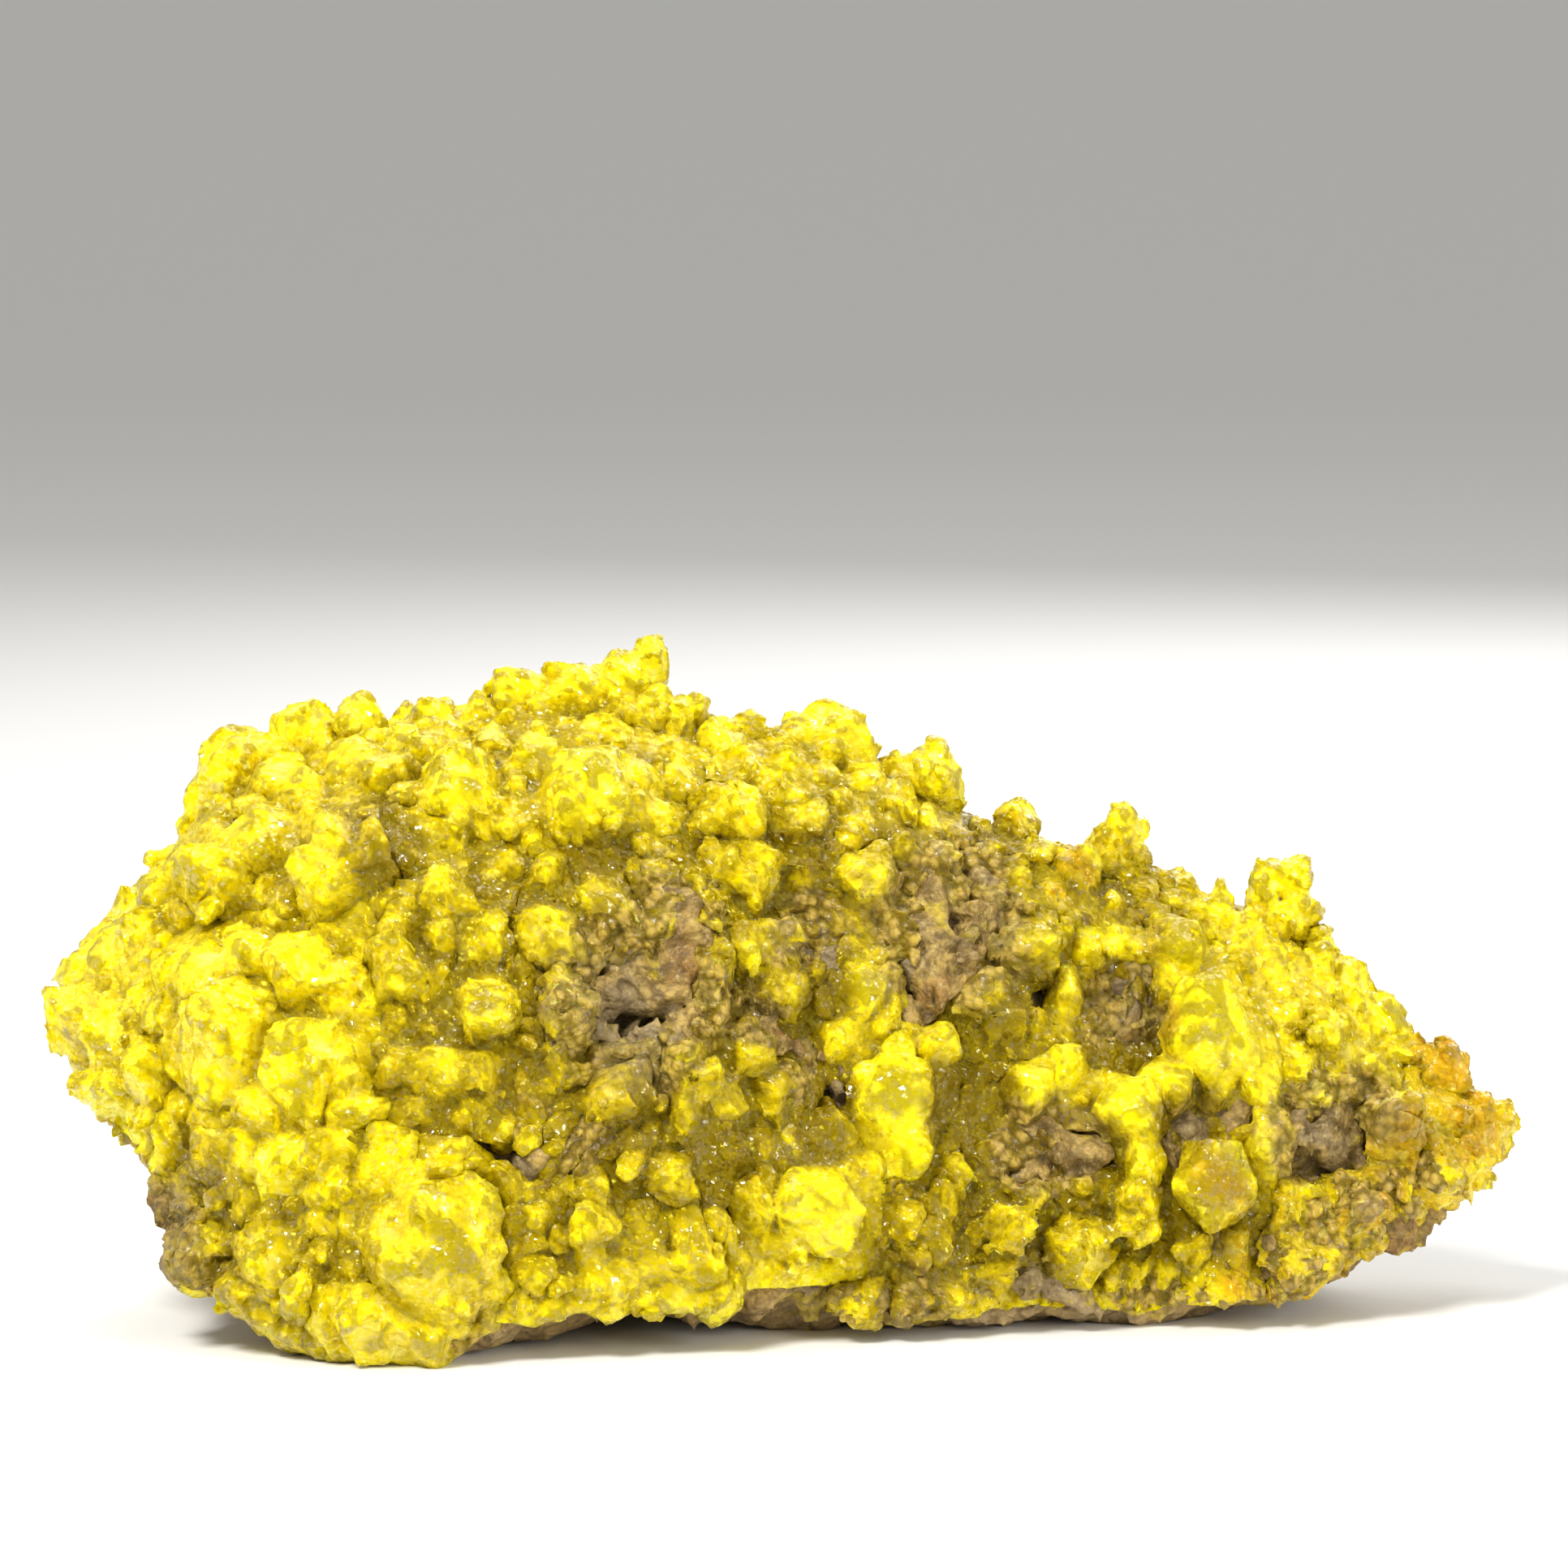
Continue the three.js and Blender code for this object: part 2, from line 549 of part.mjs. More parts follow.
function clusterSolid({ crust, crystals, back = CRUST_BACK }, number, grow) {
  const parts = crystals.map((crystal, i) => crystalSolid(crystal, number * 1000 + i, grow));
  return parts.reduce((whole, part) => whole.add(part), crustSolid(crust, back, grow));
}

// The half-space beyond a broken face.
function beyondFracture([direction, distance]) {
  const normal = new THREE.Vector3(...direction).normalize();
  const box = new THREE.BoxGeometry(300, 300, 100).translate(0, 0, 50 + distance);
  const rotation = new THREE.Quaternion().setFromUnitVectors(new THREE.Vector3(0, 0, 1), normal);
  return toSolid(box.applyQuaternion(rotation));
}

// Splits a mesh into its bodies by shared corners, and gives back the one of the largest volume.
function largestBody(mesh) {
  const { vertProperties: v, triVerts: t } = mesh;
  const parent = Array.from({ length: v.length / 3 }, (_, i) => i);
  const root = (i) => {
    let at = i;
    while (parent[at] !== at) {
      parent[at] = parent[parent[at]];
      at = parent[at];
    }
    return at;
  };
  for (let i = 0; i < t.length; i += 3) {
    parent[root(t[i])] = root(t[i + 1]);
    parent[root(t[i + 1])] = root(t[i + 2]);
  }
  const bodies = new Map();
  const corner = (i) => new THREE.Vector3(v[t[i] * 3], v[t[i] * 3 + 1], v[t[i] * 3 + 2]);
  for (let i = 0; i < t.length; i += 3) {
    const key = root(t[i]);
    if (!bodies.has(key)) bodies.set(key, { volume: 0, index: [] });
    const body = bodies.get(key);
    body.volume += corner(i).dot(corner(i + 1).cross(corner(i + 2)));
    body.index.push(t[i], t[i + 1], t[i + 2]);
  }
  const [largest] = [...bodies.values()].sort((a, b) => b.volume - a.volume);
  const geometry = new THREE.BufferGeometry();
  geometry.setAttribute("position", new THREE.Float32BufferAttribute(Array.from(v), 3));
  geometry.setIndex(largest.index);
  return geometry.toNonIndexed();
}

function namedMesh(name, solid, color, roughness) {
  const geometry = mergeVertices(largestBody(solid.getMesh()), 1e-5);
  geometry.computeVertexNormals();
  const mesh = new THREE.Mesh(geometry, new THREE.MeshStandardMaterial({ color, roughness, metalness: 0 }));
  mesh.name = name;
  return mesh;
}

const specimen = new THREE.Group();
let rock = toSolid(rockGeometry(0));
FRACTURES.forEach((face) => {
  rock = rock.subtract(beyondFracture(face));
});
specimen.add(namedMesh("matrix_rock", rock, 0x8a7355, 0.95));

const below = new THREE.BoxGeometry(200, 200, 40).translate(0, 0, FOOT_CLEARANCE - 20);
let taken = toSolid(rockGeometry(ROCK_GAP)).add(toSolid(below));
CLUSTERS.forEach((cluster, number) => {
  const solid = clusterSolid(cluster, number, 0).subtract(taken);
  specimen.add(namedMesh(cluster.name, solid, cluster.color, 0.3));
  taken = taken.add(clusterSolid(cluster, number, CRUST_GAP));
});

// The origin goes under the middle of the specimen.
const middle = new THREE.Box3().setFromObject(specimen).getCenter(new THREE.Vector3());
specimen.position.set(-middle.x, -middle.y, 0);

export default specimen;
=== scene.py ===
"""Looks of the native sulfur specimen: sulfur crystals over the front and crest of a brown rock.

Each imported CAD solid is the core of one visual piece. The piece adds the smaller crystals and grains
that grow on that solid, as a distance field, and turns the field into one closed, joined mesh.
Lengths are in millimetres until a mesh is made. The show face looks towards -Y.
"""
import json
import math

import bpy
import numpy as np
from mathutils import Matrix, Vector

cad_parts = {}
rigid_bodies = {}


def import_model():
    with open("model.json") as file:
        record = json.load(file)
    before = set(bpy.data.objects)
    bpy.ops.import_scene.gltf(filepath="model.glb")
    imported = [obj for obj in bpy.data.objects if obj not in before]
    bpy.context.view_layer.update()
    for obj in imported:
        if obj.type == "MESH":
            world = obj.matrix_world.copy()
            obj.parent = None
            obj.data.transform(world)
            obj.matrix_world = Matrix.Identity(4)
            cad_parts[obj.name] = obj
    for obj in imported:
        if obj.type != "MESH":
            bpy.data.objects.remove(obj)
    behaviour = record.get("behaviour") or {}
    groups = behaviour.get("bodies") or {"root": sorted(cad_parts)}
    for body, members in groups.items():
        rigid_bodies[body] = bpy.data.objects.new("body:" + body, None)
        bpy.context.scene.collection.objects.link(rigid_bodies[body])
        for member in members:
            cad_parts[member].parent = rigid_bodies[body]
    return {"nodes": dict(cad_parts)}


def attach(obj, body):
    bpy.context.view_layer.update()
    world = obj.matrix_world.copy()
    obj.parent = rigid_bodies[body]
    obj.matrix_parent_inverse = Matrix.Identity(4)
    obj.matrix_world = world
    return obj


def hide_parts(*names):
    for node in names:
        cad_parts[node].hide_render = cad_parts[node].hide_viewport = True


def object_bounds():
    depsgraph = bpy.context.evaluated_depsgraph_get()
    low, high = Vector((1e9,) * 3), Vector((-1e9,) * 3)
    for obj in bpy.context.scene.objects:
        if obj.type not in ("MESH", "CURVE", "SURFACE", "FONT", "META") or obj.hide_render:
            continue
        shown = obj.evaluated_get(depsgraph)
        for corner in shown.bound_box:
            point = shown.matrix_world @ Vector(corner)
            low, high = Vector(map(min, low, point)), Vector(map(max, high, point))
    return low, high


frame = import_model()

import openvdb as vdb
from mathutils import Vector
from mathutils.bvhtree import BVHTree

CAD_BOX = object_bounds()
MM = 0.001
# Where the plan that the crystal positions below are given in has its origin along X.
PLAN_X = -0.03
# The small crystals stand out past the CAD solids, so the whole is drawn in by this much again.
FIT = np.array([0.985, 0.97, 0.977])
BAND = 4  # how many voxels the distance fields reach to each side of the surface
SULFUR_VOXEL = 0.28
SULFUR_PAD = 6.5  # room around a solid for what grows on it
SULFUR_BLUR = 0.07
SULFUR_THINNING = 0.12  # how freely flat parts of a surface get fewer triangles
ROCK_VOXEL = 0.57
ROCK_PAD = 5.0
ROCK_BLUR = 0.18
ROCK_THINNING = 0.15
SEAM_GROWTH = 0.48  # closes the seams between neighbouring pieces
# Unevenness as smooth lumps and as flat slants, each given as (size, height, seed): that of the
# crystals' faces, of the rock, and of the broken rock behind.
LUMPS = [(4.5, 0.45, 1), (1.3, 0.06, 2)]
SLANTS = [(2.3, 0.32, 3), (1.2, 0.15, 4)]
ROCK_LUMPS = [(5.0, 0.5, 11), (2.2, 0.25, 12)]
ROCK_SLANTS = [(3.6, 0.55, 13), (1.5, 0.35, 14)]
BROKEN_LUMPS = [(22, 1.8, 21), (6, 0.5, 22)]
BROKEN_SLANTS = [(19, 2.6, 23), (8, 1.3, 24), (3, 0.4, 25)]
BROKEN_START, BROKEN_FULL = 13, 24  # from where to where along Y the broken relief sets in
BROKEN_ROUNDS = 6  # of evening out, so that its steps become slopes
# The flow that all pieces are moved by, as (size, height, first seed), and what is added to it along Y
# near the crust's back edge.
FLOWS = [(8.0, 0.9, 31), (3.4, 0.5, 41)]
EDGE_FLOW = (9.0, 1.8, 51)
BACK_EDGE = 15  # where the crust ends behind the crest
EDGE_REACH = 9
UP = np.array([0, 0, 0.9])  # how strongly the small crystals stand upright
CRYSTAL_START = 3.3  # how far out from the rock the crust ends and only large crystals reach
STRAGGLE = 4.0  # how far small crystals straggle over the rock past the ends of the crust
STRAGGLERS = 0.9  # of them to each square millimetre of such an end
CREST_BACK = 9  # behind this Y the crust's ends are those behind the crest
FLANK_BACK, FLANK_START = -8, 52  # and past this Y and this X to each side they are those of the flanks
LOWEST_CRYSTAL = 4.5  # no small crystal is nearer the ground than this
SHARP_EDGE = 32  # degrees between two faces of sulfur from which their edge looks sharp
# The coarse field that says how deep in a hollow a point is: its voxel, the room around the specimen,
# and how far it is blurred for a near and a wide look around.
SHADE_VOXEL = 0.7
SHADE_PAD = 8
SHADE_NEAR = 1.1
SHADE_WIDE = 3.2

# How each piece is covered: the spacing of its crystals, their smallest and largest half-width, the
# fine ones per square millimetre, how rough its faces are, and from 0 to 1 how olive and painted-shaded
# its sulfur is, how strongly its edges get a painted highlight, and how brown its sulfur is.
CLUSTERS = {
    "lower_left_disc": (3.3, 1.4, 3.3, 0.09, 0.7, 0.12, 0.15, 0.05),
    "lower_left_corner_crust": (2.1, 1.1, 2.5, 0.14, 1.0, 0.32, 0.15, 0.20),
    "left_lobe": (3.2, 1.5, 3.5, 0.09, 0.8, 0.00, 0.25, 0.05),
    "left_mass": (3.6, 1.8, 4.2, 0.09, 0.7, 0.00, 0.15, 0.00),
    "upper_left_blocks": (3.6, 1.8, 3.7, 0.05, 0.6, 0.14, 0.35, 0.00),
    "crown": (3.0, 1.5, 3.6, 0.10, 0.8, 0.13, 0.35, 0.05),
    "shoulder": (2.4, 1.3, 3.0, 0.12, 0.9, 0.14, 0.40, 0.08),
    "centre_crust": (2.0, 1.1, 2.5, 0.12, 1.0, 0.28, 0.20, 0.15),
    "centre_ledge": (1.7, 0.9, 2.1, 0.16, 1.1, 0.32, 0.15, 0.35),
    "centre_left_crust": (2.5, 1.2, 3.0, 0.12, 0.9, 0.34, 0.12, 0.10),
    "centre_blades": (2.2, 1.1, 2.6, 0.10, 0.8, 0.42, 0.08, 0.10),
    "knob_column": (2.6, 1.0, 2.4, 0.06, 0.7, 0.17, 0.15, 0.05),
    "lantern_crystal": (4.5, 0.9, 1.8, 0.0, 0.5, 0.00, 0.40, 0.00),
    "front_block": (3.4, 1.2, 2.6, 0.04, 0.5, 0.09, 0.10, 0.05),
    "front_row": (2.4, 1.2, 2.8, 0.10, 0.8, 0.32, 0.10, 0.15),
    "middle_knobs": (1.8, 0.9, 2.2, 0.10, 1.0, 0.42, 0.10, 0.20),
    "ridge": (1.8, 0.9, 2.2, 0.14, 1.0, 0.34, 0.25, 0.25),
    "arch_druse": (1.4, 0.7, 1.6, 0.25, 1.1, 0.49, 0.10, 0.45),
    "arch": (3.8, 0.9, 2.0, 0.03, 0.5, 0.02, 0.60, 0.00),
    "lower_centre_crust": (1.6, 0.8, 2.1, 0.20, 1.0, 0.46, 0.15, 0.15),
    "lower_front_crystals": (1.8, 0.9, 2.3, 0.10, 0.9, 0.36, 0.15, 0.10),
    "right_slope": (1.5, 0.8, 2.1, 0.22, 1.0, 0.10, 0.80, 0.05),
    "right_tip": (1.9, 1.1, 2.6, 0.12, 1.1, 0.14, 0.20, 0.55),
    "lower_right_crust": (1.6, 0.8, 2.2, 0.16, 1.1, 0.17, 0.20, 0.60),
}

# Where the sulfur differs from its piece's tint: X, height, radius, then how olive and painted-shaded,
# how amber, how dusted with rock, and how strongly its edges get a painted highlight there.
OLIVE_SHADE_COLUMN, AMBER_COLUMN, ROCK_COLUMN, EDGE_LIGHT_COLUMN = 3, 4, 5, 6
STAINS = [
    (17, 22, 5, 0.9, 0.1, 0.2, 0), (3, 23, 3, 0.8, 0.3, 0.2, 0), (3.5, 32, 3, 0.7, 0.2, 0.3, 0),
    (-3.2, 31, 3.4, 0.8, 0.3, 0.5, 0), (23, 32, 3, 0.8, 0.3, 0.4, 0), (2, 45, 3, 0.8, 0.2, 0.2, 0),
    (31, 29, 4.4, 1.0, 0.4, 0.6, 0), (34.4, 29, 2.4, 0.4, 1.0, 0.5, 0), (20.5, 28.5, 3, 0.8, 0.1, 0.2, 0),
    (3, 19.5, 3, 0.7, 0.2, 0, 0), (1, 27, 3, 0.6, 0.5, 0.4, 0), (-6, 18, 5, 0.7, 0.3, 0.1, 0),
    (12, 3.5, 5, 0.8, 0.1, 0.5, 0.6), (22.5, 7, 3.4, 0.7, 0.4, 0.4, 0.1), (58.5, 17, 5, 0, 0.9, 0.3, 0),
    (65, 17.5, 4, 0, 0.9, 0.2, 0), (63, 23, 4, 0, 0.8, 0.3, 0.3), (56, 12, 4, 0, 0.8, 0.4, 0.2),
    (52, 7, 7, 0.2, 0.6, 0.4, 0.3), (44, 7, 6, 0.3, 0.6, 0.3, 0.2), (27, 41.5, 3.2, 0.1, 1.0, 0.2, 0),
    (-24, 25, 4, 0.5, 0.7, 0.3, 0), (-14, 22, 4, 0.7, 0.4, 0.3, 0), (9, 49.5, 2.4, 0, 0, 0, 1.0),
    (-6, 52.5, 2.4, 0, 0, 0, 1.0), (33, 12.5, 2.4, 0, 0, 0, 1.0), (50, 30, 9, 0, 0, 0, 0.8),
    (-30, 54, 3, 0, 0, 0, 0.6), (-54, 17, 4, 0.5, 0.4, 0.3, 0), (-36, 4, 3, 0, 0.1, 0, 0.4),
    (-16, 44, 4.5, 0.5, 0.4, 0.3, 0), (27, 17, 4.5, 0.7, 0.4, 0.5, 0), (38, 20, 3.4, 0.8, 0.5, 0.5, 0),
    (-14, 33, 9, 0.4, 0.4, 1.0, 0), (-12, 40, 4, 0.2, 0.6, 0.7, 0), (15, 38, 8.5, 0.4, 0.2, 1.0, 0),
    (2, 38, 5, 0.6, 0.2, 0.6, 0), (23.5, 17.5, 5, 0.5, 0.2, 0.9, 0), (49, 18, 5, 0.3, 0.5, 0.8, 0),
    (54.5, 20, 4.5, 0.3, 0.3, 0.9, 0), (-38, 46, 4, 0.8, 0.3, 0.3, 0), (40, 14.5, 4, 0, 0.6, 0, 0),
    (-60, 11, 6, 0.3, 0.3, 1.0, 0), (-68, 27, 4, 0.2, 0.2, 0.3, 0), (-52, 8, 4, 0.4, 0.3, 0.4, 0),
    (-29, 3, 4, 0.3, 0.5, 0.5, 0.2), (20, 45, 4, 0.5, 0.1, 0.1, 0.4), (36, 38, 4, 0.3, 0.4, 0.3, 0.1),
]

# Bare rock between the crusts, as ellipses: X, height, half-width, half-height, and the grains on it:
# how many, smallest and largest half-width.
WINDOWS = [
    (-14, 33, 7.5, 6, 165, 0.8, 1.8), (-11, 40, 4, 3, 45, 0.8, 1.6), (15, 38, 7.5, 6, 165, 0.6, 1.5),
    (12.5, 33, 4, 4, 60, 0.7, 1.4), (32, 30, 4, 5, 60, 0.6, 1.3), (24, 17, 5, 4, 67, 0.6, 1.3),
    (50, 18, 3.5, 5.5, 80, 0.7, 1.6), (42.5, 21, 2.5, 3, 24, 0.6, 1.2), (-21, 20, 5, 4, 60, 0.6, 1.3),
    (3, 25, 3, 4, 36, 0.6, 1.2), (28, 37, 3, 2.5, 24, 0.6, 1.2), (-3, 31, 3.4, 3, 30, 0.6, 1.3),
    (20, 3.5, 32, 1.5, 120, 0.5, 1.1), (-57, 9, 3.5, 5, 60, 0.6, 1.3), (58, 11, 8, 4, 90, 0.6, 1.5),
    (37.5, 18.5, 2.4, 3.4, 27, 0.6, 1.1), (48, 7, 8, 3, 50, 0.6, 1.3), (2, 38, 3, 4, 30, 0.6, 1.3),
]
# Pieces whose smooth crystals no grains of rock cling to.
CLEAN = ("lantern_crystal", "front_block", "arch", "knob_column", "middle_knobs", "left_mass")

# Crystals on the left side, that close the gap between two pieces there: Y, height and half-width.
SIDE_CRYSTALS = {
    "left_lobe": [
        (-3, 34.5, 2.6), (0, 34.2, 2.8), (3, 34.4, 3.0), (6, 34, 2.8), (9, 33.4, 2.6), (12, 32.5, 2.2),
        (4.5, 36, 2.2), (8, 35.5, 2.2), (1.5, 36, 2.2), (11.5, 29, 1.8), (12, 25, 1.9), (11.5, 21, 1.6),
    ],
}

# Crystals too small for the CAD solids, as X and height on the show face, half-width, height over
# width, and lean to the right in degrees.
MEDIUM = {
    "lower_left_disc": [
        (-28.6, 6.5, 2.2, 1, 0), (-28.5, 14.5, 2.2, 1, 0), (-39.5, 12, 2.2, 1, 0),
        (-43, 3.4, 1.6, 1, 0), (-40.2, 8.4, 1.5, 1, 0),
    ],
    "lower_left_corner_crust": [
        (-50, 6.6, 2.4, 1, 0), (-43.2, 13.2, 2, 1, 0), (-47.8, 13.2, 2.4, 1, 0), (-53, 12, 2.6, 1, 0),
        (-56, 14, 2, 1, 0), (-54.6, 10, 2, 1, 0), (-43.6, 9.8, 2.2, 1, 0),
    ],
    "left_lobe": [
        (-60.4, 21.4, 2, 1, 0), (-60.8, 32.4, 2.6, 1, 0), (-61, 37, 1.8, 1, 30), (-69, 30, 1.4, 1, 0),
    ],
    "left_mass": [
        (-43.6, 19.5, 2.8, 1, 0), (-57.6, 19, 2.6, 1, 0), (-57.3, 35, 2.3, 1, 0), (-41.8, 34.5, 3.1, 1, 0),
        (-58, 30.8, 2.2, 1, 0), (-40.8, 20.6, 2.3, 1, 0), (-40.8, 26, 3, 1.3, 0), (-53.5, 21.5, 2.8, 1, 0),
    ],
    "upper_left_blocks": [
        (-46.3, 51, 3, 1, 0), (-56.4, 47.6, 2.4, 1.2, 35), (-56, 39.4, 2.4, 1, 0), (-49.6, 42.6, 2.3, 1, 0),
        (-53.4, 51, 2, 1, 30), (-48.4, 53.6, 1.6, 1.3, 40), (-40.4, 46.6, 2.6, 1.2, 0),
        (-45.2, 48.4, 2.3, 1, 0),
    ],
    "crown": [
        (-36.6, 54.8, 2.3, 1, 0), (-29.4, 57.2, 2.6, 1.1, 0), (-12.4, 59.2, 2.3, 1, 0),
        (-19, 57.4, 3.6, 1, 0), (-8.6, 57.6, 1.9, 1, 0), (-28, 54.8, 2.8, 0.9, 0),
        (-35.4, 50, 2.4, 1, 0), (-26.6, 49, 2.6, 1, 0), (-10.2, 51, 3, 1, 0), (-14.2, 51.4, 2.8, 1, 0),
        (-30.5, 54.2, 1.6, 1.2, 0), (-36.5, 53.8, 1.1, 1.3, 0), (-18.4, 61.8, 1.2, 1, 0),
    ],
    "shoulder": [
        (-1, 54.6, 1.9, 1, 0), (-5.4, 54.6, 1.9, 1, 0), (7.4, 51, 2, 1, 0), (-3.6, 52, 1.8, 1.3, 15),
        (15, 49.6, 1.9, 1, 0), (12.4, 51.6, 1.1, 1, 0), (6.2, 53, 1.9, 1.2, 0),
    ],
    "centre_crust": [
        (6.9, 46.4, 2.5, 1, -10), (14.3, 43.9, 2.4, 1.15, 0), (13.2, 47.2, 2, 1, 0), (2, 48.2, 2.5, 1, 0),
        (9.2, 47, 1.9, 1, 0), (2, 43.4, 2.4, 1, 0), (9.8, 38, 2.5, 1, -20), (4.6, 39.4, 2.2, 1.3, 0),
        (-7.4, 34.4, 2.4, 1.3, 0), (2.6, 35.2, 2.2, 1.3, 0), (-8.6, 41, 2, 1.2, 0),
    ],
    "centre_ledge": [
        (-13.4, 39.6, 2.4, 1, 0), (-22.6, 26.2, 1.9, 1.3, 30), (-22.8, 43.4, 2.3, 1, 0),
        (-12.8, 43.2, 2, 1, 0), (-24, 33.4, 1.8, 1.3, 0),
    ],
    "centre_left_crust": [
        (-36.8, 42, 2.6, 1, 0), (-33.2, 34.8, 2.6, 1, 0), (-29, 26.6, 2.8, 1.1, 0),
        (-36.6, 27.4, 2.4, 1, 0), (-35.2, 22.6, 2.4, 1, 0), (-36.8, 31.6, 2.1, 1, 0),
        (-29.6, 22.6, 2.3, 1, 0),
    ],
    "centre_blades": [
        (-5.6, 17.8, 2.4, 1, 0), (-13.6, 27, 2, 1, 0), (-12.8, 19.6, 2, 1, 0), (-2.4, 18.8, 2.1, 1, 0),
    ],
    "knob_column": [(8.6, 29, 1.8, 1.2, 0), (1.9, 27.4, 2, 1, 0), (5.3, 35.6, 1.6, 1, 0)],
    "lantern_crystal": [(8, 24.6, 1.6, 1, 0)],
    "front_block": [
        (-1.8, 9.6, 2.5, 1, 0), (1.2, 8, 2.2, 0.9, 0), (4.8, 8, 2.4, 0.9, 0), (7.9, 17, 1.6, 1, 0),
        (-1.6, 7, 1.8, 0.8, 0), (2.8, 6.4, 1.7, 0.8, 0),
    ],
    "front_row": [
        (-25.2, 13.4, 2.4, 1.1, 0), (-22.4, 14.6, 1.6, 1, 0), (-20, 15.6, 1.8, 1, 0),
        (-14.1, 11.8, 2.5, 1, 0), (-13, 8.6, 2.6, 1, 0), (-5.6, 8.4, 2, 0.8, 0), (-7.2, 6.6, 2.1, 0.8, 0),
        (-22.6, 8.4, 2.3, 1, 0), (-24.6, 6, 1.9, 1, 0), (-10.6, 12.4, 2, 1, 0),
        (-19.4, 6.6, 1.9, 0.8, 0), (-16.4, 6.4, 1.7, 0.9, 0), (-11, 6.4, 1.9, 0.8, 0),
        (-3.6, 7, 1.6, 0.8, 0),
    ],
    "middle_knobs": [
        (16.3, 33, 1.8, 1.2, 0), (20.4, 28.7, 2.5, 1, 0), (17.2, 28.6, 1.8, 1, 0),
        (23.4, 28.4, 1.5, 1.3, 0), (17.7, 35.8, 1.5, 1, 0),
    ],
    "ridge": [
        (19, 46.6, 1.9, 1, 0), (18.2, 43.4, 2.4, 1, 0), (24.6, 44.2, 2.4, 1, 0), (31.3, 43.4, 2.4, 1.3, 0),
        (22, 41.6, 2.3, 1, 0), (34.3, 40, 2.1, 1, 0), (29.2, 43.4, 1.8, 1, 0), (30.2, 45.6, 1, 1.2, 0),
    ],
    "arch_druse": [(32.2, 29.6, 2.4, 1.2, 0), (31, 25.8, 1.8, 1, 0)],
    "arch": [
        (28.6, 35.6, 2.2, 1, 0), (36.6, 30.4, 2.4, 1.8, 8), (30.4, 22.8, 1.8, 1, 0),
        (40.3, 18.8, 1.8, 1.3, 0), (26.4, 27.8, 1.4, 1.5, 0),
    ],
    "lower_centre_crust": [
        (17.2, 8, 1.8, 1, 0), (22.6, 12.8, 2.4, 0.6, 0), (18.2, 15.6, 2.1, 1.6, 10), (10.8, 11, 2.4, 1, 0),
        (22.6, 6.4, 1.9, 1.5, 0), (8.8, 7.4, 1.8, 1, 0), (14.8, 14, 2.4, 1, 0),
    ],
    "lower_front_crystals": [
        (29.9, 12.3, 2, 1.1, 0), (31, 8.6, 1.9, 1, 0), (35.6, 5.6, 2.4, 1, 0), (32.3, 5, 2.2, 1, 0),
        (38.6, 7, 2.3, 1, 0), (42.4, 6.8, 2.3, 1, 0), (41.8, 3.8, 2.2, 0.8, 0), (27.2, 12, 1.6, 1, 0),
    ],
    "right_slope": [
        (41.2, 38.6, 2.2, 1, 0), (44, 37.4, 2.2, 1, 0), (42, 34.6, 2.4, 1.3, 0), (46.5, 33.4, 2.5, 1, 0),
        (54.8, 31.2, 2.5, 1.1, 0), (57.6, 28, 2.5, 1, 0), (47.6, 28.4, 2.6, 1, 0), (58.8, 24.2, 2.4, 1, 0),
        (53.8, 23.6, 2.2, 1, 0), (48.2, 24.6, 1.9, 1, 0),
    ],
    "right_tip": [(61.2, 23.6, 1.9, 1, 0), (61.6, 17.6, 2, 1, 0)],
    "lower_right_crust": [
        (50.8, 6, 2, 1, 0), (51.8, 9, 2.2, 1, 0), (47.2, 9, 2.2, 1, 0),
    ],
}


# ---------------------------------------------------------------- distance fields


def mesh_of(obj):
    """A CAD node's corners in millimetres and its triangles."""
    mesh = obj.data
    mesh.calc_loop_triangles()
    points = np.empty(len(mesh.vertices) * 3, np.float32)
    mesh.vertices.foreach_get("co", points)
    triangles = np.empty(len(mesh.loop_triangles) * 3, np.int32)
    mesh.loop_triangles.foreach_get("vertices", triangles)
    return points.reshape(-1, 3) / MM, triangles.reshape(-1, 3)


